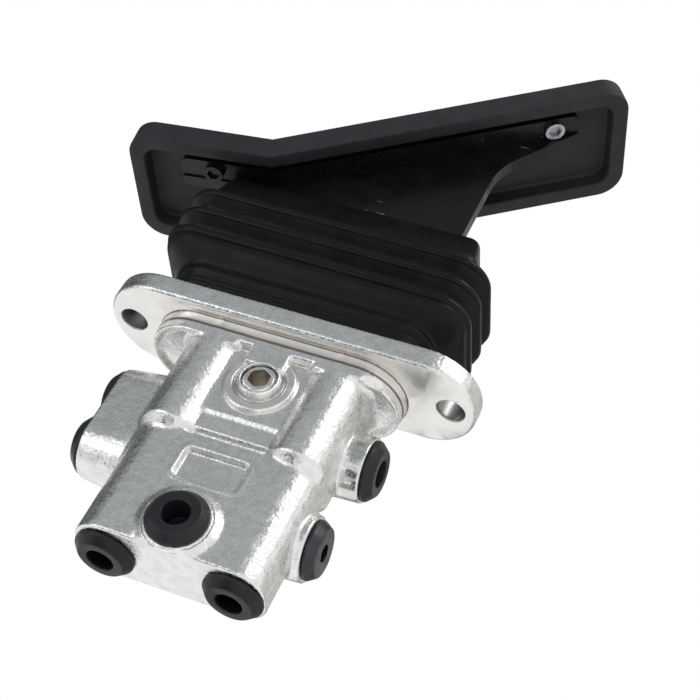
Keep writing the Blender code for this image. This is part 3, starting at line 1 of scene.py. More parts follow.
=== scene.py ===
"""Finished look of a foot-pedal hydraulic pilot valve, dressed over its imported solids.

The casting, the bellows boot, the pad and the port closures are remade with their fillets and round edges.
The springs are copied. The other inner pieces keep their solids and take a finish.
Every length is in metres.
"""
import math

import bmesh
import bpy
import numpy as np
from bpy.props import FloatProperty, FloatVectorProperty, IntProperty, PointerProperty
from mathutils import Matrix, Vector


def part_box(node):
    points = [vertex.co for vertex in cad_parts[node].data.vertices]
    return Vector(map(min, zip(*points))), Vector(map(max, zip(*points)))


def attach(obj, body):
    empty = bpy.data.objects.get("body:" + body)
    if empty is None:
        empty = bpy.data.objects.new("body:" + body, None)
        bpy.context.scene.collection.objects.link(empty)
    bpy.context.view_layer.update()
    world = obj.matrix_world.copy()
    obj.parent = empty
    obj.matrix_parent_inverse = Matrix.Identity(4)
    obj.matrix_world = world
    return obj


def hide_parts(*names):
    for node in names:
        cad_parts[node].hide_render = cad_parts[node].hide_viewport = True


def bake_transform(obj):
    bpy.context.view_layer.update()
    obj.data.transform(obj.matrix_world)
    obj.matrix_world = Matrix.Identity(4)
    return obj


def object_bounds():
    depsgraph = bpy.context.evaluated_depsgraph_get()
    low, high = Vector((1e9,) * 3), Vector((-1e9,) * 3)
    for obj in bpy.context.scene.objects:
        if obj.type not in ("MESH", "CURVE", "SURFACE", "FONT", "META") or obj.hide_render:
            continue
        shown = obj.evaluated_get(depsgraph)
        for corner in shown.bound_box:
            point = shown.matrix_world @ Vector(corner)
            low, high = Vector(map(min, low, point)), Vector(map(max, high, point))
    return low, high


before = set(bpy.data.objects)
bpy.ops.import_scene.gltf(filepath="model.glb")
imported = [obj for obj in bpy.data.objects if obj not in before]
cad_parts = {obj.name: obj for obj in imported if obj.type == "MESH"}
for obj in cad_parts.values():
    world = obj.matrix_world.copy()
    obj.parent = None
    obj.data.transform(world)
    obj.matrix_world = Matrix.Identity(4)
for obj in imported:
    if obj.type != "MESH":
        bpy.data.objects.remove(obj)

bl_info = {
    "name": "Pedal Pilot Valve Finish",
    "version": (1, 0, 0),
    "blender": (4, 5, 0),
    "location": "View3D > Sidebar > Pedal Valve",
    "description": "Dresses the solids of a foot-pedal pilot valve with cast, rubber and steel finishes",
    "category": "Object",
}

CAD_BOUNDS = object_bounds()
BODY_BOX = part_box("valve_body")
PAD_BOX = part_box("pedal_pad")
BOOT_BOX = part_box("boot")
PLUG_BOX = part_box("front_socket_plug")
X_AXIS, Y_AXIS, Z_AXIS = Vector((1, 0, 0)), Vector((0, 1, 0)), Vector((0, 0, 1))
QUARTER = math.radians(90)
WELD_DISTANCE = 0.000005


# Properties

def length_of(name, description, default, **limits):
    return FloatProperty(name=name, description=description, default=default, precision=5, unit="LENGTH",
                         **limits)


def share_of(name, description, default):
    return FloatProperty(name=name, description=description, default=default, min=0, max=1, subtype="FACTOR")


def colour_of(name, description, default):
    return FloatVectorProperty(name=name, description=description, default=default, size=3, min=0, max=1,
                               subtype="COLOR")


class CastingSettings(bpy.types.PropertyGroup):
    voxel: length_of("Skin Size", "Edge length of the casting's fine skin", 0.0005, min=0.0004, max=0.003)
    rounds: IntProperty(name="Fillet Rounds", description="How often the skin is relaxed into its fillets",
                        default=13, min=0, max=80)
    triangles: IntProperty(name="Triangles", description="Most triangles that the casting's skin keeps",
                           default=185000, min=20000, max=195000)
    edge_share: share_of("Edge Share", "How far outer edges are rounded beside inner corners", 0.25)
    relief_share: share_of("Relief Share", "How much of that reaches the fine relief on the front", 0.10)
    register_depth: length_of("Register Depth", "Height of the turned band under the flange", 0.0045,
                              min=0, max=0.008)
    colour: colour_of("Cast Colour", "Reflection colour of the sand-cast aluminium", (0.79, 0.79, 0.775))
    machined_colour: colour_of("Machined Colour", "Reflection colour of the milled faces", (0.82, 0.81, 0.79))


class BootSettings(bpy.types.PropertyGroup):
    centre_x: length_of("Centre", "Middle of the bellows along the valve", -0.0017)
    base_half_length: length_of("Base Half Length", "Half length of the foot that grips the cover", 0.051)
    base_half_width: length_of("Base Half Width", "Half width of the foot that grips the cover", 0.0174)
    bead_half_length: length_of("Bead Half Length", "Half length of the bellows over its beads", 0.0615)
    bead_half_width: length_of("Bead Half Width", "Half width of the bellows over its beads", 0.0240)
    bead_pitch: length_of("Bead Pitch", "Height from one bead to the next", 0.01015)
    first_bead_z: length_of("First Bead", "Height of the lowest bead", 0.0298)
    fold_depth: length_of("Fold Depth", "Depth of the folds between the beads", 0.0048)
    heel_lift: length_of("Heel Lift", "Rise of the beads' heel ends above their toe ends", 0.0018)
    wall: length_of("Wall", "Thickness of the rubber", 0.0016)
    colour: colour_of("Rubber Colour", "Colour of the bellows rubber", (0.0065, 0.0065, 0.007))


class PedalSettings(bpy.types.PropertyGroup):
    pad_height: length_of("Pad Height", "Depth of the moulded pad at its rim", 0.0101)
    pad_web: length_of("Pad Sheet", "Thickness of the pad over the bracket", 0.0034)
    rim: length_of("Rim Width", "Width of the pad's rim", 0.0064)
    corner: length_of("Corner Radius", "Radius of the pad's outer corners", 0.0105)
    edge_round: length_of("Edge Round", "Radius of the pad's moulded edges", 0.0009)
    pad_colour: colour_of("Pad Colour", "Colour of the pad's rubber", (0.019, 0.021, 0.024))
    paint_colour: colour_of("Paint Colour", "Colour of the bracket's paint", (0.0045, 0.0045, 0.005))


class ClosureSettings(bpy.types.PropertyGroup):
    segments: IntProperty(name="Segments", description="Steps round each turned piece", default=72, min=12,
                          max=160)
    cap_colour: colour_of("Cap Colour", "Colour of the moulded port caps", (0.016, 0.018, 0.021))


class StageSettings(bpy.types.PropertyGroup):
    lens: FloatProperty(name="Lens", description="Focal length of the camera in millimetres", default=85.34,
                        min=10, max=300)
    floor_gap: length_of("Floor Gap", "Space between the valve's lowest point and the floor", 0.0005)
    floor_colour: colour_of("Floor Colour", "Colour of the plain floor", (0.86, 0.86, 0.86))
    room_light: FloatProperty(name="Room Light", description="Strength of the even light from all round",
                              default=0.75, min=0, max=3)


# Meshes

def link_piece(name, mesh):
    piece = bpy.data.objects.new(name, mesh)
    bpy.context.scene.collection.objects.link(piece)
    return piece


def mesh_from(name, bm):
    mesh = bpy.data.meshes.new(name)
    bm.to_mesh(mesh)
    bm.free()
    return mesh


def bake_modifiers(piece):
    """Keep the shape that the modifiers give and drop the modifiers."""
    bpy.context.view_layer.update()
    graph = bpy.context.evaluated_depsgraph_get()
    mesh = bpy.data.meshes.new_from_object(piece.evaluated_get(graph))
    piece.modifiers.clear()
    piece.data = mesh
    return piece


def shade(piece, angle=40):
    piece.data.shade_smooth()
    piece.data.set_sharp_from_angle(angle=math.radians(angle))
    return piece


def finish_node(node, material):
    node.data.materials.clear()
    node.data.materials.append(material)


def dress(piece, body, slot, material, *replaced):
    """Give a finished piece its material, the body that it rides on and the nodes that it stands for."""
    finish_node(piece, material)
    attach(piece, body)
    if replaced:
        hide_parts(*replaced)
    return piece


def facing(direction):
    return Vector(direction).to_track_quat("Z", "Y").to_matrix().to_4x4()


def turned(name, profile, place, segments):
    """Closed body turned from (radius, height) points, which start and end on the axis."""
    bm = bmesh.new()
    rings = []
    for radius, height in profile:
        if radius == 0:
            rings.append([bm.verts.new((0, 0, height))])
            continue
        ring = []
        for step in range(segments):
            turn = math.tau * step / segments
            ring.append(bm.verts.new((radius * math.cos(turn), radius * math.sin(turn), height)))
        rings.append(ring)
    for upper, lower in zip(rings, rings[1:]):
        for step in range(segments):
            following = (step + 1) % segments
            corners = [upper[step % len(upper)], lower[step % len(lower)],
                       lower[following % len(lower)], upper[following % len(upper)]]
            bm.faces.new(list(dict.fromkeys(corners)))
    bmesh.ops.recalc_face_normals(bm, faces=bm.faces)
    bm.transform(place)
    return link_piece(name, mesh_from(name, bm))


def softened(corners, radius):
    """Profile of (radius, height) corners with each inner corner replaced by a small arc."""
    steps = 4
    longest_share = 0.45
    points = [corners[0]]
    for before, corner, after in zip(corners, corners[1:], corners[2:]):
        point = Vector(corner)
        to_before, to_after = Vector(before) - point, Vector(after) - point
        reach = min(radius, to_before.length * longest_share, to_after.length * longest_share)
        start = point + to_before.normalized() * reach
        end = point + to_after.normalized() * reach
        for step in range(steps + 1):
            share = step / steps
            bend = start.lerp(point, share).lerp(point.lerp(end, share), share)
            points.append((max(bend.x, 0), bend.y))
    points.append(corners[-1])
    return points


def hex_socket(piece, place, across_radius, depth):
    """Cut a hexagon key's socket, its mouth on the place's origin and its axis along local Z."""
    bm = bmesh.new()
    overrun = 0.001
    middle = Matrix.Translation((0, 0, (overrun - depth) / 2))
    bmesh.ops.create_cone(bm, cap_ends=True, segments=6, radius1=across_radius, radius2=across_radius,
                          depth=depth + overrun, matrix=place @ middle)
    cutter = link_piece("socket_cutter", mesh_from("socket_cutter", bm))
    cut = piece.modifiers.new("socket", "BOOLEAN")
    cut.operation = "DIFFERENCE"
    cut.solver = "EXACT"
    cut.object = cutter
    bake_modifiers(piece)
    bpy.data.objects.remove(cutter, do_unlink=True)


def rounded_rectangle(half_length, half_width, radius, steps, straight=1):
    """Points (x, y) round a rectangle with arc corners, counter-clockwise from the toe side's middle."""
    least_side = 0.0001
    radius = min(radius, half_length - least_side, half_width - least_side)
    points = []
    for quarter, (sign_x, sign_y) in enumerate(((1, 1), (-1, 1), (-1, -1), (1, -1))):
        centre = Vector((sign_x * (half_length - radius), sign_y * (half_width - radius)))
        for step in range(steps + 1):
            turn = QUARTER * (quarter + step / steps)
            points.append(centre + Vector((math.cos(turn), math.sin(turn))) * radius)
        if quarter % 2 == 0 and straight > 1:
            last = points[-1]
            opposite = Vector((-last.x, last.y))
            points += [last.lerp(opposite, step / straight) for step in range(1, straight)]
    return points


def skin(bm, rings):
    for lower, upper in zip(rings, rings[1:]):
        for index in range(len(lower)):
            bm.faces.new((lower[index - 1], lower[index], upper[index], upper[index - 1]))


# Shared surface effects

def node_group(name, inputs, outputs):
    """Empty shader group with named number sockets, the sockets that it is given and its output node."""
    group = bpy.data.node_groups.new(name, "ShaderNodeTree")
    for label, value in inputs.items():
        socket = group.interface.new_socket(name=label, in_out="INPUT", socket_type="NodeSocketFloat")
        socket.default_value = value
    for label in outputs:
        group.interface.new_socket(name=label, in_out="OUTPUT", socket_type="NodeSocketFloat")
    return group, group.nodes.new("NodeGroupInput").outputs, group.nodes.new("NodeGroupOutput")


def add(tree, kind, values=(), **settings):
    """New node with settings and input values, which are given by name or number."""
    node = tree.nodes.new(kind)
    for label, value in settings.items():
        setattr(node, label, value)
    for label, value in dict(values).items():
        if isinstance(value, bpy.types.NodeSocket):
            tree.links.new(value, node.inputs[label])
        else:
            node.inputs[label].default_value = value
    return node


def feed(node, label, socket):
    """Link a socket to one of the node's inputs."""
    node.id_data.links.new(socket, node.inputs[label])


def ramp(tree, value, low, high, start=0.0, end=1.0):
    """Smooth change from start to end as the value goes from low to high."""
    values = {"Value": value, "From Min": low, "From Max": high, "To Min": start, "To Max": end}
    return add(tree, "ShaderNodeMapRange", values, interpolation_type="SMOOTHSTEP").outputs["Result"]


def maths(tree, operation, first, second=0.0):
    return add(tree, "ShaderNodeMath", {0: first, 1: second}, operation=operation).outputs[0]


def object_position(tree):
    return tree.nodes.new("ShaderNodeTexCoord").outputs["Object"]


def coordinates(tree):
    """Sockets X, Y and Z of the place on the object."""
    return add(tree, "ShaderNodeSeparateXYZ", {0: object_position(tree)}).outputs


def noise(tree, place, scale, detail, roughness=0.5):
    values = {"Vector": place, "Scale": scale, "Detail": detail, "Roughness": roughness}
    return add(tree, "ShaderNodeTexNoise", values).outputs["Fac"]


def build_grain():
    """Sand or mould grain: a height of fine bumps over slow waves, and masks of the bumps and the waves."""
    group, given, put = node_group("Surface Grain", {"Scale": 1200.0, "Waves": 160.0, "Wave Share": 0.5},
                                   ("Height", "Mask", "Waves"))
    place = object_position(group)
    fine = noise(group, place, given["Scale"], 3.0, 0.55)
    slow = noise(group, place, given["Waves"], 2.0)
    cells = add(group, "ShaderNodeTexVoronoi", {"Vector": place, "Scale": given["Scale"], "Randomness": 1.0},
                feature="SMOOTH_F1").outputs["Distance"]
    bumps = maths(group, "ADD", fine, maths(group, "MULTIPLY", cells, -0.5))
    waves = maths(group, "MULTIPLY", slow, given["Wave Share"])
    feed(put, "Height", maths(group, "ADD", bumps, waves))
    feed(put, "Mask", ramp(group, fine, 0.35, 0.65))
    feed(put, "Waves", ramp(group, slow, 0.35, 0.65))
    return group


def build_edge_wear_and_light():
    """Masks of the edges that handling has polished, which also serve as painted highlights, broken up by a
    slow noise, and of the hollows, which take painted shade.
    """
    group, given, put = node_group("Edge Wear And Painted Light", {"Sharpness": 0.54, "Scale": 300.0}, ("Edges", "Hollows"))
    bend = group.nodes.new("ShaderNodeNewGeometry").outputs["Pointiness"]
    patches = noise(group, object_position(group), given["Scale"], 3.0)
    shift = maths(group, "MULTIPLY", maths(group, "SUBTRACT", patches, 0.5), 0.06)
    over = maths(group, "SUBTRACT", maths(group, "ADD", bend, shift), given["Sharpness"])
    feed(put, "Edges", ramp(group, over, 0.0, 0.05))
    feed(put, "Hollows", ramp(group, bend, 0.42, 0.49, 1.0, 0.0))
    return group


def build_handling():
    """Thin stray scratches and soft smudges."""
    group, given, put = node_group("Handling Marks", {"Scale": 60.0, "Amount": 0.3}, ("Scratches", "Smudges"))
    place = object_position(group)
    slant = {"Vector": place, "Rotation": (0.4, 0.5, 0.3), "Scale": (1.0, 9.0, 9.0)}
    drawn_out = add(group, "ShaderNodeMapping", slant).outputs[0]
    patches = noise(group, place, given["Scale"], 2.0)
    lines = ramp(group, noise(group, drawn_out, given["Scale"], 4.0, 0.7), 0.66, 0.70)
    broken = maths(group, "MULTIPLY", lines, ramp(group, patches, 0.5, 0.6))
    feed(put, "Scratches", maths(group, "MULTIPLY", broken, given["Amount"]))
    feed(put, "Smudges", ramp(group, patches, 0.42, 0.68))
    return group


GROUPS = {"grain": build_grain(), "edge_wear_and_light": build_edge_wear_and_light(), "handling": build_handling()}


def place_group(tree, name, **values):
    """Place a shared effect with its own values and give its output sockets."""
    node = tree.nodes.new("ShaderNodeGroup")
    node.node_tree = GROUPS[name]
    for label, value in values.items():
        node.inputs[label.replace("_", " ").title()].default_value = value
    return node.outputs


# Materials

def new_material(name, metallic, specular=0.5):
    material = bpy.data.materials.new(name)
    material.use_nodes = True
    shader = material.node_tree.nodes["Principled BSDF"]
    shader.inputs["Metallic"].default_value = metallic
    shader.inputs["Specular IOR Level"].default_value = specular
    return material, material.node_tree, shader


def mixed(tree, share, first, second):
    """Colour between two others, by a mask."""
    values = {"Factor": share}
    for label, colour in ((6, first), (7, second)):
        values[label] = colour if isinstance(colour, bpy.types.NodeSocket) else (*colour, 1)
    return add(tree, "ShaderNodeMix", values, data_type="RGBA").outputs[2]


def tinted(colour, gain):
    return tuple(min(channel * gain, 1) for channel in colour)


def bumped(tree, shader, height, distance):
    bump = add(tree, "ShaderNodeBump", {"Height": height, "Distance": distance, "Strength": 1.0})
    feed(shader, "Normal", bump.outputs[0])


def grained(tree, shader, colour, gains, depth, **values):
    """Bump the surface with a grain, and give its colour, which drifts between two gains over slow waves."""
    grain = place_group(tree, "grain", **values)
    bumped(tree, shader, grain["Height"], depth)
    return mixed(tree, grain["Waves"], tinted(colour, gains[0]), tinted(colour, gains[1]))


def handled(tree, shader, rough_low, rough_high, **values):
    """Let smudges change the roughness, and give the mask of the scratches."""
    handling = place_group(tree, "handling", **values)
    feed(shader, "Roughness", ramp(tree, handling["Smudges"], 0.0, 1.0, rough_low, rough_high))
    return handling["Scratches"]


# Place and half width of each seam of the turned register under the flange, which takes a painted line of
# shade
SEAMS = ((-0.00045, 0.00022), (-0.0042, 0.00030))
# Colour of the painted shade in the seams
SEAM_SHADE_COLOUR = (0.24, 0.20, 0.16)
# Where the smoother surface of the toe bosses, with its painted shade, starts, along X and down Z
BOSS_ROOT_X = (0.0372, 0.0388)
BOSS_TOP_Z = (-0.0145, -0.0125)


def painted_seam_shade(tree, colour):
    """Paint a thin line of shade into each of the two seams of the turned register under the flange."""
    height = coordinates(tree)["Z"]
    seams = 0.0
    for seam_z, half_width in SEAMS:
        away = maths(tree, "ABSOLUTE", maths(tree, "SUBTRACT", height, seam_z))
        seams = maths(tree, "MAXIMUM", ramp(tree, away, half_width, half_width * 2, 1.0, 0.0), seams)
    return mixed(tree, seams, colour, SEAM_SHADE_COLOUR)


def cast_metal(name, colour, rough_low=0.24, rough_high=0.38):
    """Sand-cast aluminium: sparkling grain, painted shade in its hollows, painted highlights on its edges,
    and smoother toe bosses with painted shade.
    """
    material, tree, shader = new_material(name, 1.0)
    place = coordinates(tree)
    boss_smooth_and_shade = maths(tree, "MULTIPLY", ramp(tree, place["X"], *BOSS_ROOT_X),
                   ramp(tree, place["Z"], *BOSS_TOP_Z, 1.0, 0.0))
    grain = place_group(tree, "grain", scale=900.0, waves=260.0, wave_share=1.6)
    edge_wear_and_light = place_group(tree, "edge_wear_and_light", sharpness=0.53, scale=400.0)
    # Painted shade darkens the hollows and a painted highlight lightens the convex edges.
    hollow_shade = [channel * gain for channel, gain in zip(colour, (0.50, 0.45, 0.40))]
    base = mixed(tree, grain["Waves"], tinted(colour, 0.93), tinted(colour, 1.04))
    shaded = mixed(tree, edge_wear_and_light["Hollows"], base, hollow_shade)
    lit = mixed(tree, edge_wear_and_light["Edges"], shaded, tinted(colour, 1.15))
    # Painted shade: the toe bosses' colour is darkened.
    boss_shaded = mixed(tree, boss_smooth_and_shade, lit, tinted(colour, 0.86))
    feed(shader, "Base Color", painted_seam_shade(tree, boss_shaded))
    rough = ramp(tree, grain["Mask"], 0.0, 1.0, rough_low, rough_high)
    feed(shader, "Roughness", maths(tree, "SUBTRACT", rough, maths(tree, "MULTIPLY", boss_smooth_and_shade, 0.10)))
    calm = maths(tree, "SUBTRACT", 1.0, maths(tree, "MULTIPLY", boss_smooth_and_shade, 0.75))
    bumped(tree, shader, maths(tree, "MULTIPLY", grain["Height"], calm), 0.00014)
    return material


def machined_metal(name, colour, roughness=0.34):
    """Milled or turned aluminium: pale, even, with a faint lay of cutting marks."""
    material, tree, shader = new_material(name, 1.0)
    base = grained(tree, shader, colour, (0.96, 1.02), 0.00003, scale=2600.0, waves=90.0, wave_share=0.3)
    scratches = handled(tree, shader, roughness * 0.9, roughness * 1.2, scale=70.0, amount=0.5)
    feed(shader, "Base Color", painted_seam_shade(tree, mixed(tree, scratches, base, tinted(colour, 0.75))))
    return material


def steel(name, colour, roughness, scale=1800.0):
    """Bright or dark steel with a fine grain, smudges and worn edges."""
    material, tree, shader = new_material(name, 1.0)
    base = grained(tree, shader, colour, (0.88, 1.06), 0.00002, scale=scale, waves=220.0, wave_share=0.4)
    handled(tree, shader, roughness * 0.85, roughness * 1.25, scale=120.0, amount=0.4)
    edge_wear_and_light = place_group(tree, "edge_wear_and_light", sharpness=0.55, scale=500.0)
    feed(shader, "Base Color", mixed(tree, edge_wear_and_light["Edges"], base, tinted(colour, 1.5)))
    return material


def rubber(name, colour, roughness, scale, depth=0.00003, specular=0.5, dust=0.25, dust_gain=3.0, gloss=0.0):
    """Moulded rubber: fine stipple, dull smudges and a painted highlight, a lighter colour, along the edges.
    """
    material, tree, shader = new_material(name, 0.0, specular)
    shader.inputs["Coat Roughness"].default_value = 0.28
    base = grained(tree, shader, colour, (0.9, 1.12), depth, scale=scale, waves=120.0, wave_share=0.6)
    scratches = handled(tree, shader, *roughness, scale=45.0, amount=dust)
    edge_wear_and_light = place_group(tree, "edge_wear_and_light", sharpness=0.55, scale=250.0)
    # Painted highlight: the convex edges are lighter.
    edge_highlight = mixed(tree, edge_wear_and_light["Edges"], base, tinted(colour, 1.5))
    feed(shader, "Coat Weight", maths(tree, "MULTIPLY", edge_wear_and_light["Edges"], gloss))
    feed(shader, "Base Color", mixed(tree, scratches, edge_highlight, tinted(colour, dust_gain)))
    return material


def black_paint(colour):
    """Black paint over steel, glossy, with small bright chips where it was handled."""
    chip_colour = (0.28, 0.28, 0.28)
    material, tree, shader = new_material("bracket_black_paint", 0.0, 0.3)
    base = grained(tree, shader, colour, (0.85, 1.2), 0.00004, scale=900.0, waves=160.0, wave_share=0.8)
    scratches = handled(tree, shader, 0.26, 0.42, scale=75.0, amount=1.0)
    chips = ramp(tree, noise(tree, object_position(tree), 420.0, 5.0, 0.75), 0.72, 0.75)
    marks = maths(tree, "MAXIMUM", chips, scratches)
    feed(shader, "Base Color", mixed(tree, marks, base, chip_colour))
    return material


# Casting

CAP_STEM = 0.0075
BOSS_CENTRE = (PLUG_BOX[0] + PLUG_BOX[1]) / 2
BORE_MARGIN = 0.0006
BORE_EDGE = (PLUG_BOX[1].x - PLUG_BOX[0].x) / 2 + BORE_MARGIN
HOLE_X = 0.063
HOLE_RADIUS = 0.0053
BORE_X = 0.0238
WALL_RADIUS = 0.0118
# Windows on the front: half width, the depth that their points lie in front of, lowest and highest place
RELIEF_WINDOWS = ((0.0135, -0.0085, -0.0460, -0.0020), (0.0150, -0.0075, -0.0705, -0.0500))
POCKET_WINDOW = (0.0152, -0.0060, -0.0452, -0.0030)
RECESS_WINDOW = (0.0142, -0.0080, -0.0680, -0.0515)
# Distance, in skin sizes, within which points hold still, faces count as milled and hole walls as drilled
HELD_REACH, MILLED_REACH, DRILLED_REACH = 0.8, 0.9, 0.6


def machined_planes():
    """Axis number, place and outward sign of each milled face of the casting."""
    flange_underside = 0.0
    front_port_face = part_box("port_cap_front")[1].y - CAP_STEM
    return [(2, flange_underside, -1), (2, BODY_BOX[0].z, -1),
            (0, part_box("port_cap_heel_upper")[1].x - CAP_STEM, -1),
            (0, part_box("port_cap_toe_upper")[0].x + CAP_STEM, 1),
            (0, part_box("port_plug_toe_lower")[0].x + CAP_STEM, 1),
            (1, front_port_face, -1)]


def casting_skin(voxel):
    """Even fine skin over the valve body's solid."""
    bm = bmesh.new()
    bm.from_mesh(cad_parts["valve_body"].data)
    bmesh.ops.remove_doubles(bm, verts=bm.verts, dist=WELD_DISTANCE)
    piece = link_piece("casting", mesh_from("casting", bm))
    remesh = piece.modifiers.new("skin", "REMESH")
    remesh.mode = "VOXEL"
    remesh.voxel_size = voxel
    remesh.use_smooth_shade = True
    return bake_modifiers(piece)


def rows_of(items, label):
    """Vectors of a mesh's vertices or faces, one to a row."""
    values = np.empty(len(items) * 3)
    items.foreach_get(label, values)
    return values.reshape(-1, 3)


def on_plane(points, normals, plane, reach):
    axis, place, sign = plane
    return (np.abs(points[:, axis] - place) < reach) & (normals[:, axis] * sign > 0.9)


def in_window(points, half_x, front_y, low_z, high_z):
    x, y, z = points.T
    return (np.abs(x) < half_x) & (y < front_y) & (z > low_z) & (z < high_z)


def relax_casting(piece, settings):
    """Fill the inner corners with fillets, round the outer edges less, and leave milled faces flat."""
    mesh = piece.data
    points = rows_of(mesh.vertices, "co")
    normals = rows_of(mesh.vertices, "normal")
    free = np.ones(len(points))
    for window in RELIEF_WINDOWS:
        free[in_window(points, *window)] = settings.relief_share
    for plane in machined_planes():
        free[on_plane(points, normals, plane, settings.voxel * HELD_REACH)] = 0
    ends = np.empty(len(mesh.edges) * 2, dtype=np.int64)
    mesh.edges.foreach_get("vertices", ends)
    first, second = ends.reshape(-1, 2).T
    around = np.concatenate((first, second))
    beside = np.concatenate((second, first))
    valence = np.bincount(around, minlength=len(points))
    for _ in range(settings.rounds):
        mean = np.stack([np.bincount(around, weights=points[beside, axis], minlength=len(points)) / valence
                         for axis in range(3)], axis=1)
        pull = mean - points
        hollow = np.einsum("ij,ij->i", pull, normals) > 0
        share = np.where(hollow, 1.0, settings.edge_share) * free * 0.5
        points = points + pull * share[:, None]
    mesh.vertices.foreach_set("co", points.ravel())
    mesh.update()


def eased(value, low, high):
    """Smooth rise from nought at low to one at high."""
    share = np.clip((value - low) / (high - low), 0, 1)
    return share * share * (3 - 2 * share)


def fallen(value, low, high):
    """Smooth fall from one at low to nought at high."""
    return eased(-value, -high, -low)


def union(first, second, fillet):
    """The larger of two heights, with a fillet of about the given size where they cross."""
    return np.maximum(first, second) + np.maximum(fillet - np.abs(first - second), 0) ** 2 / (4 * fillet)


def pocket_height(x, z):
    """How far the cast relief between the bore walls stands out to the front."""
    shelf_y, shelf_rise, shelf_foot_z, shelf_run = 0.0080, 0.0032, -0.0415, 0.0047
    wall_y = 0.0030
    pad_y, pad_drop, groove_depth = 0.0131, 0.0055, 0.0011
    boss_y, boss_drop = 0.0157, 0.0055
    upper_y, upper_rise = 0.0090, 0.0056
    shelf = shelf_y + shelf_rise * np.clip((z - shelf_foot_z) / shelf_run, 0, 1)
    wall = wall_y + np.sqrt(np.maximum(WALL_RADIUS ** 2 - (np.abs(x) - BORE_X) ** 2, 0))
    from_boss = np.hypot(x - BOSS_CENTRE.x, z - BOSS_CENTRE.z)
    pad = pad_y - pad_drop * eased(from_boss, 0.0124, 0.0146)
    groove = groove_depth * eased(from_boss, 0.0078, 0.0087) * fallen(from_boss, 0.0091, 0.0100)
    boss = boss_y - boss_drop * eased(from_boss, 0.0068, 0.0094)
    neck = eased(z, -0.0091, -0.0066)
    bridge = eased(x, -0.0102, -0.0086) * fallen(x, 0.0056, 0.0072) * eased(z, -0.0175, -0.0140)
    upper = upper_y + upper_rise * np.maximum(neck, bridge)
    height = union(shelf, wall, 0.0016)
    for form, fillet in ((pad - groove, 0.0008), (upper, 0.0008), (boss, 0.0004)):
        height = union(height, form, fillet)
    return height


def recess_height(x, z):
    """How far the lower block stands out, with its framed recess that has sloping walls."""
    half_x, middle_z, half_z, corner = 0.0121, -0.06025, 0.00645, 0.0022
    block_y, depth, lip_height, lip_middle, lip_width = 0.0109, 0.0021, 0.00028, 0.0009, 0.0007
    past_x, past_z = np.abs(x) - half_x, np.abs(z - middle_z) - half_z
    inside = np.minimum(np.maximum(past_x, past_z) + corner, 0)
    outside = np.hypot(np.maximum(past_x + corner, 0), np.maximum(past_z + corner, 0)) + inside - corner
    lip = lip_height * np.exp(-((outside - lip_middle) / lip_width) ** 2)
    return block_y + lip - depth * fallen(outside, -0.0011, 0.0003)


def shape_cast_forms(piece):
    """Model the relief on the front, the coned front boss, the register and the neck's two ends."""
    mesh = piece.data
    points = rows_of(mesh.vertices, "co")
    normals = rows_of(mesh.vertices, "normal")
    x, y, z = points.T
    pocket = in_window(points, *POCKET_WINDOW) & (np.hypot(x - BOSS_CENTRE.x, z - BOSS_CENTRE.z) > BORE_EDGE)
    recess = in_window(points, *RECESS_WINDOW)
    y[pocket] = -pocket_height(x, z)[pocket]
    y[recess] = -recess_height(x, z)[recess]
    low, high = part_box("port_cap_front")
    boss_y = high.y - CAP_STEM
    from_port = np.hypot(x - (low.x + high.x) / 2, z - (low.z + high.z) / 2)
    cone_start, cone_end, cone_overlap = 0.0116, 0.0150, 0.001
    block_y, front_y, foot = -0.0109, -0.0085, 0.0006
    cone = boss_y + (block_y - boss_y) * np.clip((from_port - cone_start) / (cone_end - cone_start), 0, 1)
    coned = (normals[:, 1] < -0.3) & (y < front_y) & (z > BODY_BOX[0].z + foot)
    coned &= (from_port < cone_end) & (from_port > cone_start - cone_overlap)
    y[coned] = np.minimum(y, cone)[coned]
    band_low, band_high, band_half_x, band_step = -0.0040, -0.0006, 0.0535, 0.0004
    band = (z < band_high) & (z > band_low) & (np.abs(normals[:, 2]) < 0.5) & (np.abs(x) < band_half_x)
    points[band] += normals[band] * band_step
    dish_neck_ends(points, normals)
    mesh.vertices.foreach_set("co", points.ravel())
    mesh.update()


def dish_neck_ends(points, normals):
    """Hollow the neck's underside between its rim and the bore walls."""
    x, y, z = points.T
    neck_bottom, neck_heel, neck_toe, neck_radius, bore_y = -0.0083, -0.0512, 0.0465, 0.017, 0.0024
    wall_half_y, rim_width, wall_gap, slope, depth, inner_x = 0.0054, 0.0014, 0.0004, 0.0014, 0.0018, 0.026
    underside = (np.abs(z - neck_bottom) < 0.0004) & (normals[:, 2] < -0.9)
    for arc_x, sign in ((neck_heel + neck_radius, -1), (neck_toe - neck_radius, 1)):
        past = np.maximum((x - arc_x) * sign, 0)
        rim = neck_radius - np.hypot(past, y - bore_y)
        wall = np.hypot(x - sign * BORE_X, np.maximum(np.abs(y - bore_y) - wall_half_y, 0)) - WALL_RADIUS
        room = eased(np.minimum(rim - rim_width, wall - wall_gap), 0, slope)
        here = underside & (x * sign > inner_x)
        z += np.where(here, depth * room, 0)


def thin_out(piece, triangles):
    """Collapse the skin's flattest edges until it has no more than the given triangles."""
    count = sum(len(face.vertices) - 2 for face in piece.data.polygons)
    if count > triangles:
        collapse = piece.modifiers.new("collapse", "DECIMATE")
        collapse.ratio = triangles / count
        bake_modifiers(piece)
    return piece


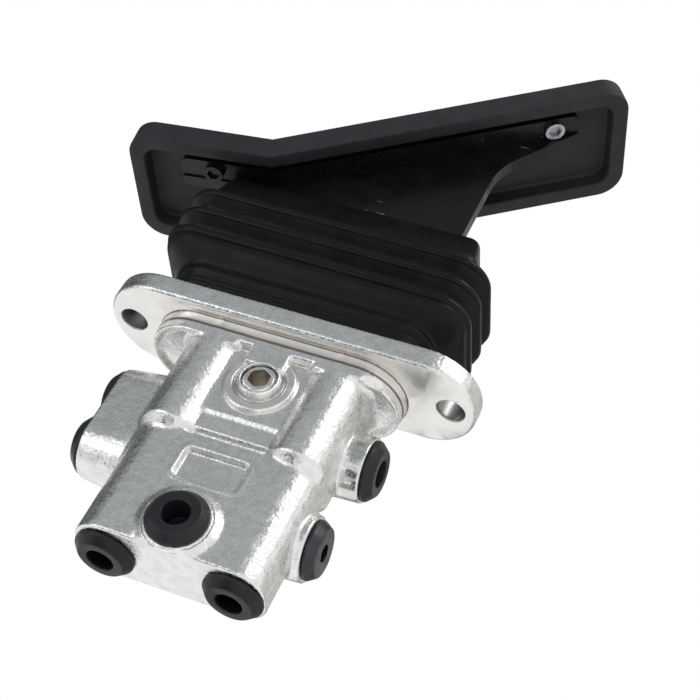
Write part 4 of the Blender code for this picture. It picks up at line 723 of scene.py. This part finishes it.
def assign_machined_faces(piece, settings):
    """Give the milled faces, the turned register of the neck and the bolt holes their own material slots; the
    bolt holes' darker colour is painted shade.
    """
    mesh = piece.data
    centres = rows_of(mesh.polygons, "center")
    normals = rows_of(mesh.polygons, "normal")
    milled = (centres[:, 2] < 0) & (centres[:, 2] > -settings.register_depth)
    for plane in machined_planes():
        milled |= on_plane(centres, normals, plane, settings.voxel * MILLED_REACH)
    slots = milled.astype(np.int32)
    from_axis = np.hypot(np.abs(centres[:, 0]) - HOLE_X, centres[:, 1])
    drilled = (from_axis < HOLE_RADIUS + settings.voxel * DRILLED_REACH) & (np.abs(normals[:, 2]) < 0.8)
    slots[drilled & (centres[:, 2] > -0.001)] = 2
    mesh.polygons.foreach_set("material_index", slots)
    mesh.update()


class PEDALVALVE_OT_casting(bpy.types.Operator):
    """Make the cast aluminium body with its fillets, grain and milled faces"""
    bl_idname = "pedal_valve.casting"
    bl_label = "Casting"

    def execute(self, context):
        settings = context.scene.pedal_valve_casting
        # The bolt holes' walls get a darker colour: painted shade inside the holes.
        hole_shade_colour, drilled_roughness = (0.42, 0.42, 0.41), 0.42
        piece = casting_skin(settings.voxel)
        shape_cast_forms(piece)
        relax_casting(piece, settings)
        thin_out(piece, settings.triangles)
        piece.data.shade_smooth()
        dress(piece, "housing", "cast_aluminium", cast_metal("sand_cast_aluminium", tuple(settings.colour)),
              "valve_body")
        piece.data.materials.append(machined_metal("milled_aluminium", tuple(settings.machined_colour)))
        piece.data.materials.append(machined_metal("drilled_aluminium_painted_shade", hole_shade_colour, drilled_roughness))
        assign_machined_faces(piece, settings)
        return {"FINISHED"}


# Port closures

FACE_HEIGHT = 0.0042
RIM_FOOT = 0.0003
STEM_RADIUS = 0.0073
SOCKET_DEPTH = 0.0045


def port_faces():
    """Face centre and outward direction of each capped port, read from the closures' solids."""
    places = {}
    for name, outward in (("port_cap_heel_upper", -X_AXIS), ("port_cap_heel_lower", -X_AXIS),
                          ("port_cap_toe_upper", X_AXIS), ("port_plug_toe_lower", X_AXIS),
                          ("port_cap_front", -Y_AXIS), ("port_cap_bottom_heel", -Z_AXIS),
                          ("port_cap_bottom_toe", -Z_AXIS)):
        low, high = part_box(name)
        centre = (low + high) / 2
        inner = low if sum(outward) > 0 else high
        axis = max(range(3), key=lambda number: abs(outward[number]))
        centre[axis] = inner[axis] + outward[axis] * CAP_STEM
        places[name] = (centre, outward)
    return places


def cap_profile():
    rim, face, hole, hole_floor, corner = 0.01107, 0.0084, 0.00498, -0.0059, 0.00035
    return softened([(0, hole_floor), (hole, hole_floor), (hole, FACE_HEIGHT - 0.0002),
                     (hole + 0.0004, FACE_HEIGHT), (face, FACE_HEIGHT), (rim - 0.0003, 0.0016), (rim, 0.0011),
                     (rim, RIM_FOOT), (STEM_RADIUS, RIM_FOOT), (STEM_RADIUS, -CAP_STEM),
                     (0, -CAP_STEM)], corner)


def plug_profile():
    rim, face, corner = 0.0107, 0.0088, 0.0003
    return softened([(0, FACE_HEIGHT), (face, FACE_HEIGHT), (rim, 0.0012), (rim, RIM_FOOT),
                     (STEM_RADIUS, RIM_FOOT), (STEM_RADIUS, -CAP_STEM), (0, -CAP_STEM)], corner)


def front_plug_profile():
    radius = (PLUG_BOX[1].x - PLUG_BOX[0].x) / 2
    foot, corner = PLUG_BOX[0].y - PLUG_BOX[1].y, 0.0002
    return softened([(0, 0), (radius * 0.82, 0), (radius * 0.86, -0.0003), (radius - 0.0002, -0.0009),
                     (radius, -0.0012), (radius, foot), (0, foot)], corner)


def paint_socket_shade(piece, place, radius, material):
    """Give the walls and the floor of a plug's socket a darker steel, which paints the shade inside the
    socket.
    """
    mouth_z = -0.0002
    piece.data.materials.append(material)
    to_plug = place.inverted()
    for face in piece.data.polygons:
        spot = to_plug @ face.center
        if spot.z < mouth_z and math.hypot(spot.x, spot.y) < radius:
            face.material_index = len(piece.data.materials) - 1


class PEDALVALVE_OT_closures(bpy.types.Operator):
    """Make the port caps, the black socket plug and the bright socket plug"""
    bl_idname = "pedal_valve.closures"
    bl_label = "Port Closures"

    def execute(self, context):
        settings = context.scene.pedal_valve_closures
        black_socket, bright_socket, bright_socket_edge = 0.0035, 0.0043, 0.0044
        moulded = rubber("moulded_cap_rubber", tuple(settings.cap_colour), (0.34, 0.5), 1600.0, specular=0.26,
                         gloss=0.6)
        dark = steel("black_oxide_plug", (0.055, 0.058, 0.064), 0.38, 1400.0)
        for name, (centre, outward) in port_faces().items():
            place = Matrix.Translation(centre) @ facing(outward)
            if name == "port_plug_toe_lower":
                piece = turned("toe_socket_plug", plug_profile(), place, settings.segments)
                mouth = place @ Matrix.Translation((0, 0, FACE_HEIGHT))
                hex_socket(piece, mouth, black_socket, SOCKET_DEPTH)
                dress(shade(piece), "housing", "black_oxide_steel", dark, name)
            else:
                piece = turned(name.replace("port_cap", "cap"), cap_profile(), place, settings.segments)
                dress(shade(piece), "housing", "moulded_cap", moulded, name)
        place = Matrix.Translation((BOSS_CENTRE.x, PLUG_BOX[0].y, BOSS_CENTRE.z)) @ facing(-Y_AXIS)
        piece = turned("bright_socket_plug", front_plug_profile(), place, settings.segments)
        hex_socket(piece, place, bright_socket, SOCKET_DEPTH)
        dress(shade(piece), "housing", "zinc_plated_steel",
              steel("zinc_plated_plug", (0.80, 0.79, 0.76), 0.30), "front_socket_plug")
        # Darker steel that paints the shade inside the socket
        socket_shade_steel = steel("zinc_plated_socket_shade", (0.36, 0.33, 0.29), 0.36)
        paint_socket_shade(piece, place, bright_socket_edge, socket_shade_steel)
        return {"FINISHED"}


# Bellows boot

LIP_Z = 0.0180
SKIRT_START_Z = LIP_Z + 0.0017
COLLAR_Z = 0.0540
CREST_RADIUS = 0.0017
BASE_CORNER = 0.013
ARC_STEPS, SIDE_STEPS = 12, 6
GROOVES = 3
GROOVE_START = 0.0020
GROOVE_PITCH = 0.0019
# Growth and height of the rings of one groove in the foot
GROOVE_RINGS = ((0.0002, -0.0006), (-0.0003, 0), (0.0002, 0.0006))
SKIRT_STEPS = 9
BEADS = 3
# Growth, share of the way to the bead outline and height over the lip of the rings round the lip
LIP_RINGS = ((-0.0004, 0, -0.0024), (0.0004, 0, -0.0014), (0.0011, 0, -0.0006), (0.0012, 0, 0),
             (0.0009, 0, 0.0007), (0.0004, 0.03, 0.0017))
# Share of the way from one bead to the next, and share of the fold's depth
FOLD_RINGS = ((0.07, 0.40), (0.13, 0.72), (0.21, 0.94), (0.30, 1.0), (0.42, 0.92), (0.56, 0.72), (0.70, 0.48),
              (0.83, 0.26), (0.93, 0.10))
# Heel end, toe end, half width, corner radius and height of the collar's rings, from its foot up
COLLAR_RINGS = ((-0.0566, 0.0532, 0.0203, 0.0085, 0.0532), (-0.0564, 0.0530, 0.0198, 0.0060, 0.0545),
                (-0.0563, 0.0516, 0.0181, 0.0052, 0.0590), (-0.0562, 0.0502, 0.0163, 0.0047, 0.0635),
                (-0.0561, 0.0490, 0.0146, 0.0043, 0.0680),
                (-0.0560, 0.0482, 0.0135, 0.0041, BOOT_BOX[1].z - 0.0012),
                (-0.0558, 0.0478, 0.0130, 0.0039, BOOT_BOX[1].z - 0.0004),
                (-0.0554, 0.0473, 0.0125, 0.0035, BOOT_BOX[1].z))


def boot_levels(settings):
    """Growth over the outline, share of the way from base to bead, and height of each ring."""
    foot_z = BOOT_BOX[0].z
    levels = [(0, 0, foot_z)]
    for step in range(GROOVES):
        groove_z = foot_z + GROOVE_START + step * GROOVE_PITCH
        levels += [(grow, 0, groove_z + rise) for grow, rise in GROOVE_RINGS]
    levels += [(grow, share, LIP_Z + rise) for grow, share, rise in LIP_RINGS]
    skirt_end = settings.first_bead_z - 0.0019
    skirt_foot, skirt_spread, skirt_power = 0.05, 0.86, 1.25
    for step in range(1, SKIRT_STEPS):
        share = step / SKIRT_STEPS
        levels.append((0, skirt_foot + skirt_spread * math.sin(share * math.pi / 2) ** skirt_power,
                       SKIRT_START_Z + (skirt_end - SKIRT_START_Z) * share))
    for bead in range(BEADS):
        middle = settings.first_bead_z + bead * settings.bead_pitch
        for turn in range(-75, 76, 25):
            angle = math.radians(turn)
            levels.append((CREST_RADIUS * (math.cos(angle) - 1), 1, middle + CREST_RADIUS * math.sin(angle)))
        if bead < BEADS - 1:
            rise = settings.bead_pitch - 2 * CREST_RADIUS
            for share, depth in FOLD_RINGS:
                levels.append((-settings.fold_depth * depth, 1, middle + CREST_RADIUS + rise * share))
    return levels


def lifted(x, z, settings):
    """Height of a boot point after the heel's lift, which fades out to the lip and to the top."""
    top_z = BOOT_BOX[1].z
    below = (z - LIP_Z) / (settings.first_bead_z - LIP_Z)
    above = (top_z - z) / (top_z - COLLAR_Z)
    heel = (settings.centre_x + settings.bead_half_length - x) / (2 * settings.bead_half_length)
    return z + settings.heel_lift * max(0, min(below, above, 1)) * heel


def boot_ring(bm, settings, centre_x, half_length, half_width, radius, z):
    ring = []
    for point in rounded_rectangle(half_length, half_width, radius, ARC_STEPS, SIDE_STEPS):
        x = centre_x + point.x
        ring.append(bm.verts.new((x, point.y, lifted(x, z, settings))))
    return ring


def bellows_ring(bm, settings, level):
    """Ring between the base outline and the bead outline."""
    grow, share, z = level
    half_length = settings.base_half_length + (settings.bead_half_length - settings.base_half_length) * share
    half_width = settings.base_half_width + (settings.bead_half_width - settings.base_half_width) * share
    return boot_ring(bm, settings, settings.centre_x, half_length + grow, half_width + grow,
                     BASE_CORNER + grow, z)


def collar_rings(bm, settings):
    """Collar above the top bead, drawn in to the slot round the bracket's web."""
    rings = []
    for heel_x, toe_x, *outline in COLLAR_RINGS:
        rings.append(boot_ring(bm, settings, (heel_x + toe_x) / 2, (toe_x - heel_x) / 2, *outline))
    gap, slot_depth = 0.0004, 0.0016
    web_heel, web_toe, web_front, web_back = -0.0505, 0.0392, -0.0088, -0.0040
    slot = rounded_rectangle((web_toe - web_heel) / 2 + gap, (web_back - web_front) / 2 + gap, gap, ARC_STEPS,
                             SIDE_STEPS)
    for drop in (0, slot_depth):
        rings.append([bm.verts.new((point.x + (web_heel + web_toe) / 2, point.y + (web_front + web_back) / 2,
                                    BOOT_BOX[1].z - drop)) for point in slot])
    return rings


class PEDALVALVE_OT_boot(bpy.types.Operator):
    """Make the bellows boot between the housing and the pedal"""
    bl_idname = "pedal_valve.boot"
    bl_label = "Bellows Boot"

    def execute(self, context):
        settings = context.scene.pedal_valve_boot
        bm = bmesh.new()
        rings = [bellows_ring(bm, settings, level) for level in boot_levels(settings)]
        skin(bm, rings + collar_rings(bm, settings))
        piece = link_piece("bellows_boot", mesh_from("bellows_boot", bm))
        wall = piece.modifiers.new("wall", "SOLIDIFY")
        wall.thickness = settings.wall
        wall.offset = -1
        bake_modifiers(piece)
        shade(piece, 60)
        finish_node(piece, rubber("boot_rubber_skin", tuple(settings.colour), (0.30, 0.46), 700.0,
                                  specular=0.15, dust=0.5, dust_gain=4.0, gloss=1.0))
        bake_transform(piece)
        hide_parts("boot")
        return {"FINISHED"}


# Pedal pad and bracket

KINK = Vector((-0.0419, 0.0832))
HEEL_ANGLE = math.radians(7.1)
TOE_ANGLE = math.radians(35.3)
HEEL_LENGTH = 0.0577
TOE_LENGTH = 0.1415
BRACKET_EDGE = 0.0004


def pedal_place(along, y, depth):
    """Point of the kinked pedal: along its top from the kink, across it and below its top."""
    runs = [Vector((math.cos(angle), math.sin(angle))) for angle in (HEEL_ANGLE, TOE_ANGLE)]
    ups = [Vector((-run.y, run.x)) for run in runs]
    if abs(along) < 0.00001:
        point = KINK - (ups[0] + ups[1]) * (depth / (1 + ups[0].dot(ups[1])))
    else:
        side = 0 if along < 0 else 1
        point = KINK + runs[side] * along - ups[side] * depth
    return (point.x, y, point.y)


def pad_ring(bm, inset, depth, corner, half_width):
    """Ring of the pad's outline, drawn in by an inset, with points on the kink."""
    half_length = (HEEL_LENGTH + TOE_LENGTH) / 2 - inset
    middle = (TOE_LENGTH - HEEL_LENGTH) / 2
    least_radius = 0.0008
    arcs = rounded_rectangle(half_length, half_width - inset, max(corner - inset, least_radius), ARC_STEPS)
    half = len(arcs) // 2
    split = half // 2
    back, front = arcs[:half], arcs[half:]
    outline = (back[:split] + [Vector((-middle, half_width - inset))] + back[split:]
               + front[:split] + [Vector((-middle, inset - half_width))] + front[split:])
    return [bm.verts.new(pedal_place(point.x + middle, point.y, depth)) for point in outline]


def ladder(bm, ring):
    """Close a ring whose second half mirrors its first with strips from side to side."""
    count = len(ring)
    for index in range(count // 2 - 1):
        opposite = count - 1 - index
        bm.faces.new((ring[index], ring[index + 1], ring[opposite - 1], ring[opposite]))


def pad_mesh(settings):
    """Moulded tray: flat top, deep rim and round edges all along."""
    half_width = (PAD_BOX[1].y - PAD_BOX[0].y) / 2
    edge, height, sheet, rim = settings.edge_round, settings.pad_height, settings.pad_web, settings.rim
    corner, inner_corner = settings.corner, rim + 0.006
    floor_round = 0.0014
    steps = 4
    bm = bmesh.new()
    rings = []
    for inset, across, inward, depth, down, downward, radius in (
            (0, edge, math.sin, 0, edge, math.cos, corner),
            (0, edge, math.cos, height, -edge, math.sin, corner),
            (rim, -edge, math.sin, height, -edge, math.cos, inner_corner),
            (rim, floor_round, math.cos, sheet, floor_round, math.sin, inner_corner)):
        for step in range(steps + 1):
            turn = QUARTER * step / steps
            drawn_in = inset + across * (1 - inward(turn))
            below = depth + down * (1 - downward(turn))
            rings.append(pad_ring(bm, drawn_in, below, radius, half_width))
    skin(bm, rings)
    ladder(bm, rings[0])
    ladder(bm, rings[-1])
    bmesh.ops.recalc_face_normals(bm, faces=bm.faces)
    return mesh_from("pad_moulding", bm)


class PEDALVALVE_OT_pedal(bpy.types.Operator):
    """Make the moulded pad and give the bracket its soft edges and its paint"""
    bl_idname = "pedal_valve.pedal"
    bl_label = "Pedal"

    def execute(self, context):
        settings = context.scene.pedal_valve_pedal
        piece = shade(link_piece("pad_moulding", pad_mesh(settings)), 35)
        pad_rubber = rubber("pad_rubber_skin", tuple(settings.pad_colour), (0.57, 0.64), 1500.0,
                            depth=0.00005, specular=0.27, dust=0.15)
        dress(piece, "pedal", "pad_rubber", pad_rubber, "pedal_pad")
        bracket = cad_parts["pedal_bracket"]
        soften_node(bracket, BRACKET_EDGE)
        finish_node(bracket, black_paint(tuple(settings.paint_colour)))
        return {"FINISHED"}


# Solids that stay

def soften_node(node, width):
    """Weld a kept solid and break its edges."""
    weld = node.modifiers.new("weld", "WELD")
    weld.merge_threshold = WELD_DISTANCE
    edge = node.modifiers.new("edges", "BEVEL")
    edge.width = width
    edge.segments = 2
    edge.limit_method = "ANGLE"
    edge.angle_limit = math.radians(35)


def kept_finishes():
    """Finish of each solid that keeps its shape, by the start of its name."""
    ground = steel("ground_steel_finish", (0.56, 0.56, 0.57), 0.2, 2400.0)
    dark = steel("black_oxide_finish", (0.06, 0.062, 0.068), 0.36, 1400.0)
    bright = steel("zinc_plated_finish", (0.70, 0.70, 0.66), 0.28, 1600.0)
    coil = steel("spring_steel_finish", (0.33, 0.33, 0.35), 0.3, 1500.0)
    bronze = steel("bearing_bronze_finish", (0.55, 0.35, 0.16), 0.32, 1500.0)
    seal = rubber("seal_rubber_finish", (0.018, 0.018, 0.018), (0.45, 0.6), 1500.0)
    painted = bpy.data.materials["bracket_black_paint"]
    cover = cast_metal("cover_casting", (0.60, 0.61, 0.63), 0.34, 0.5)
    return {"pivot_cover": cover, "cover_screw": dark, "pivot_bush": bronze, "plunger_guide": ground,
            "rod_seal": seal, "guide_ring": seal, "return_spring": coil, "metering_spring": coil,
            "rocker_bolt": bright, "rocker": dark, "shaft_set_screw": dark, "pivot_shaft": ground,
            "pad_screw_toe": coil, "pad_screw": painted, "push_rod": ground, "spring_seat": ground,
            "spool": ground}


def squeezed_coil(kind, side, material):
    """Copy of a spring that stands in for the spring's solid, which it hides."""
    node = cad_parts[f"{kind}_spring_{side}"]
    piece = link_piece(f"{kind}_coil_{side}", node.data.copy())
    piece.matrix_world = node.matrix_world.copy()
    finish_node(piece, material)
    shade(piece, 60)
    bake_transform(piece)
    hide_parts(f"{kind}_spring_{side}")


class PEDALVALVE_OT_inner_pieces(bpy.types.Operator):
    """Make the springs and give the pivot cover, rocker, screws, rods and spools their finishes"""
    bl_idname = "pedal_valve.inner_pieces"
    bl_label = "Inner Pieces"

    def execute(self, context):
        finishes = kept_finishes()
        for side in ("heel", "toe"):
            squeezed_coil("return", side, finishes["return_spring"])
            squeezed_coil("metering", side, finishes["metering_spring"])
        for name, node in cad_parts.items():
            if node.hide_render or name == "pedal_bracket":
                continue
            start = next((start for start in finishes if name.startswith(start)), None)
            if start is None:
                raise RuntimeError(f"no finish is named for {name}")
            finish_node(node, finishes[start])
        return {"FINISHED"}


# Stage

CAMERA_PLACE = Vector((0.198, -0.4503, -0.34606))
CAMERA_RIGHT = Vector((0.9187, 0.0529, 0.3915))
CAMERA_UP = Vector((-0.2604, -0.6643, 0.7007))
CAMERA_BACK = Vector((0.2971, -0.7456, -0.5964))
LAMP_AIM = Vector((0, 0, 0.02))
FLOOR_RADIUS = 1.0
FLOOR_FADE = (0.35, 0.9)
# Direction, half angle in degrees, distance and glow of each card that the metal mirrors
CARDS = {"front_card": ((-0.60, -0.60, 0.45), 62, 1.6, (0.345, 0.36, 0.375)),
         "side_card": ((-0.80, 0.16, 0.56), 36, 1.5, (0.09, 0.095, 0.10)),
         "camera_card": ((-0.29, -0.42, -0.86), 18, 1.5, (0.10, 0.105, 0.11)),
         "back_card": ((0.35, 0.75, 0.45), 54, 1.6, (0.30, 0.31, 0.32)),
         "toe_card": ((0.50, 0.62, 0.60), 34, 1.5, (0.56, 0.55, 0.53))}
# Place, width and power of each lamp
LAMPS = {"key_lamp": ((0.5, -0.5, 0.7), 0.5, 2.6), "fill_lamp": ((-0.6, -0.7, -0.3), 0.6, 1.5)}


def add_camera(lens):
    data = bpy.data.cameras.new("studio_camera")
    data.lens = lens
    data.sensor_width = 36
    data.clip_start = 0.01
    data.clip_end = 20
    camera = bpy.data.objects.new("studio_camera", data)
    bpy.context.scene.collection.objects.link(camera)
    turn = Matrix((CAMERA_RIGHT, CAMERA_UP, CAMERA_BACK)).transposed()
    camera.matrix_world = Matrix.Translation(CAMERA_PLACE) @ turn.to_4x4()
    bpy.context.scene.camera = camera


def add_lamp(name, place, size, power):
    data = bpy.data.lights.new(name, "AREA")
    data.shape = "DISK"
    data.size = size
    data.energy = power
    lamp = bpy.data.objects.new(name, data)
    bpy.context.scene.collection.objects.link(lamp)
    lamp.location = place
    aim = LAMP_AIM - Vector(place)
    lamp.rotation_euler = aim.to_track_quat("-Z", "Y").to_euler()
    lamp.visible_camera = False


def floor_material(colour):
    """Pale matt floor that fades out, lets lamps through and can be seen through from below."""
    material, tree, shader = new_material("studio_floor", 0.0, 0.0)
    shader.inputs["Base Color"].default_value = (*colour, 1)
    shader.inputs["Roughness"].default_value = 1.0
    geometry = tree.nodes.new("ShaderNodeNewGeometry").outputs
    path = tree.nodes.new("ShaderNodeLightPath").outputs
    away = add(tree, "ShaderNodeVectorMath", {0: object_position(tree)}, operation="LENGTH")
    fade = ramp(tree, away.outputs["Value"], *FLOOR_FADE)
    through = maths(tree, "MAXIMUM", geometry["Backfacing"], path["Is Shadow Ray"])
    blend = add(tree, "ShaderNodeMixShader", {0: maths(tree, "MAXIMUM", through, fade), 1: shader.outputs[0]})
    feed(blend, 2, tree.nodes.new("ShaderNodeBsdfTransparent").outputs[0])
    feed(tree.nodes["Material Output"], "Surface", blend.outputs[0])
    return material


def add_floor(settings):
    bm = bmesh.new()
    bmesh.ops.create_circle(bm, cap_ends=True, segments=96, radius=FLOOR_RADIUS)
    floor = link_piece("floor", mesh_from("floor", bm))
    floor.location = (0, 0, CAD_BOUNDS[0].z - settings.floor_gap)
    floor.data.materials.append(floor_material(tuple(settings.floor_colour)))
    floor.visible_glossy = False


def card_material(name, colour):
    """Glow that varies softly over the card."""
    material = bpy.data.materials.new(name)
    material.use_nodes = True
    tree = material.node_tree
    tree.nodes.clear()
    level = ramp(tree, noise(tree, object_position(tree), 4.5, 3.0), 0.32, 0.68, 0.55, 1.75)
    glow = add(tree, "ShaderNodeEmission", {"Color": (*colour, 1), "Strength": level})
    feed(tree.nodes.new("ShaderNodeOutputMaterial"), "Surface", glow.outputs[0])
    return material


def add_card(name, middle, half_angle, radius, colour):
    """Studio card in one direction, which only mirrors in glossy surfaces."""
    middle = Vector(middle).normalized()
    bm = bmesh.new()
    bmesh.ops.create_icosphere(bm, subdivisions=5, radius=radius)
    limit = math.cos(math.radians(half_angle))
    outside = [face for face in bm.faces if face.calc_center_median().normalized().dot(middle) < limit]
    bmesh.ops.delete(bm, geom=outside, context="FACES")
    card = link_piece(name, mesh_from(name, bm))
    card.data.materials.append(card_material(name, colour))
    for ray in ("camera", "diffuse", "transmission", "volume_scatter", "shadow"):
        setattr(card, f"visible_{ray}", False)


def light_room(strength):
    """White room: white where it is seen or mirrored, and a plain even light elsewhere."""
    world = bpy.data.worlds.new("white_room")
    bpy.context.scene.world = world
    world.use_nodes = True
    tree = world.node_tree
    tree.nodes.clear()
    path = tree.nodes.new("ShaderNodeLightPath").outputs
    mirrored = maths(tree, "MAXIMUM", path["Is Glossy Ray"], path["Is Transmission Ray"])
    seen = maths(tree, "MAXIMUM", path["Is Camera Ray"], mirrored)
    level = ramp(tree, seen, 0.0, 1.0, strength, 1.0)
    glow = add(tree, "ShaderNodeBackground", {"Color": (1, 1, 1, 1), "Strength": level})
    feed(tree.nodes.new("ShaderNodeOutputWorld"), "Surface", glow.outputs[0])


class PEDALVALVE_OT_stage(bpy.types.Operator):
    """Make the camera, the white room, the lamps, the cards and the floor"""
    bl_idname = "pedal_valve.stage"
    bl_label = "Stage"

    def execute(self, context):
        settings = context.scene.pedal_valve_stage
        add_camera(settings.lens)
        light_room(settings.room_light)
        add_floor(settings)
        for name, card in CARDS.items():
            add_card(name, *card)
        for name, lamp in LAMPS.items():
            add_lamp(name, *lamp)
        context.scene.view_settings.view_transform = "Standard"
        return {"FINISHED"}


# Panel and registration

class PEDALVALVE_PT_panel(bpy.types.Panel):
    """Sizes, colours and steps of the pedal valve's finish"""
    bl_idname = "PEDALVALVE_PT_panel"
    bl_label = "Pedal Valve"
    bl_space_type = "VIEW_3D"
    bl_region_type = "UI"
    bl_category = "Pedal Valve"

    def draw(self, context):
        for label, operator in STEPS.items():
            box = self.layout.box()
            box.operator(operator.bl_idname)
            settings = getattr(context.scene, f"pedal_valve_{label}", None)
            if settings:
                for name in settings.__annotations__:
                    box.prop(settings, name)


SETTINGS = {"stage": StageSettings, "casting": CastingSettings, "closures": ClosureSettings,
            "boot": BootSettings, "pedal": PedalSettings}
STEPS = {"stage": PEDALVALVE_OT_stage, "casting": PEDALVALVE_OT_casting, "closures": PEDALVALVE_OT_closures,
         "boot": PEDALVALVE_OT_boot, "pedal": PEDALVALVE_OT_pedal, "inner_pieces": PEDALVALVE_OT_inner_pieces}
CLASSES = (*SETTINGS.values(), *STEPS.values(), PEDALVALVE_PT_panel)


def register():
    for kind in CLASSES:
        bpy.utils.register_class(kind)
    for label, settings in SETTINGS.items():
        setattr(bpy.types.Scene, f"pedal_valve_{label}", PointerProperty(type=settings))


def unregister():
    for label in SETTINGS:
        delattr(bpy.types.Scene, f"pedal_valve_{label}")
    for kind in reversed(CLASSES):
        bpy.utils.unregister_class(kind)


def main():
    register()
    for label in STEPS:
        getattr(bpy.ops.pedal_valve, label)()


if __name__ == "__main__":
    main()
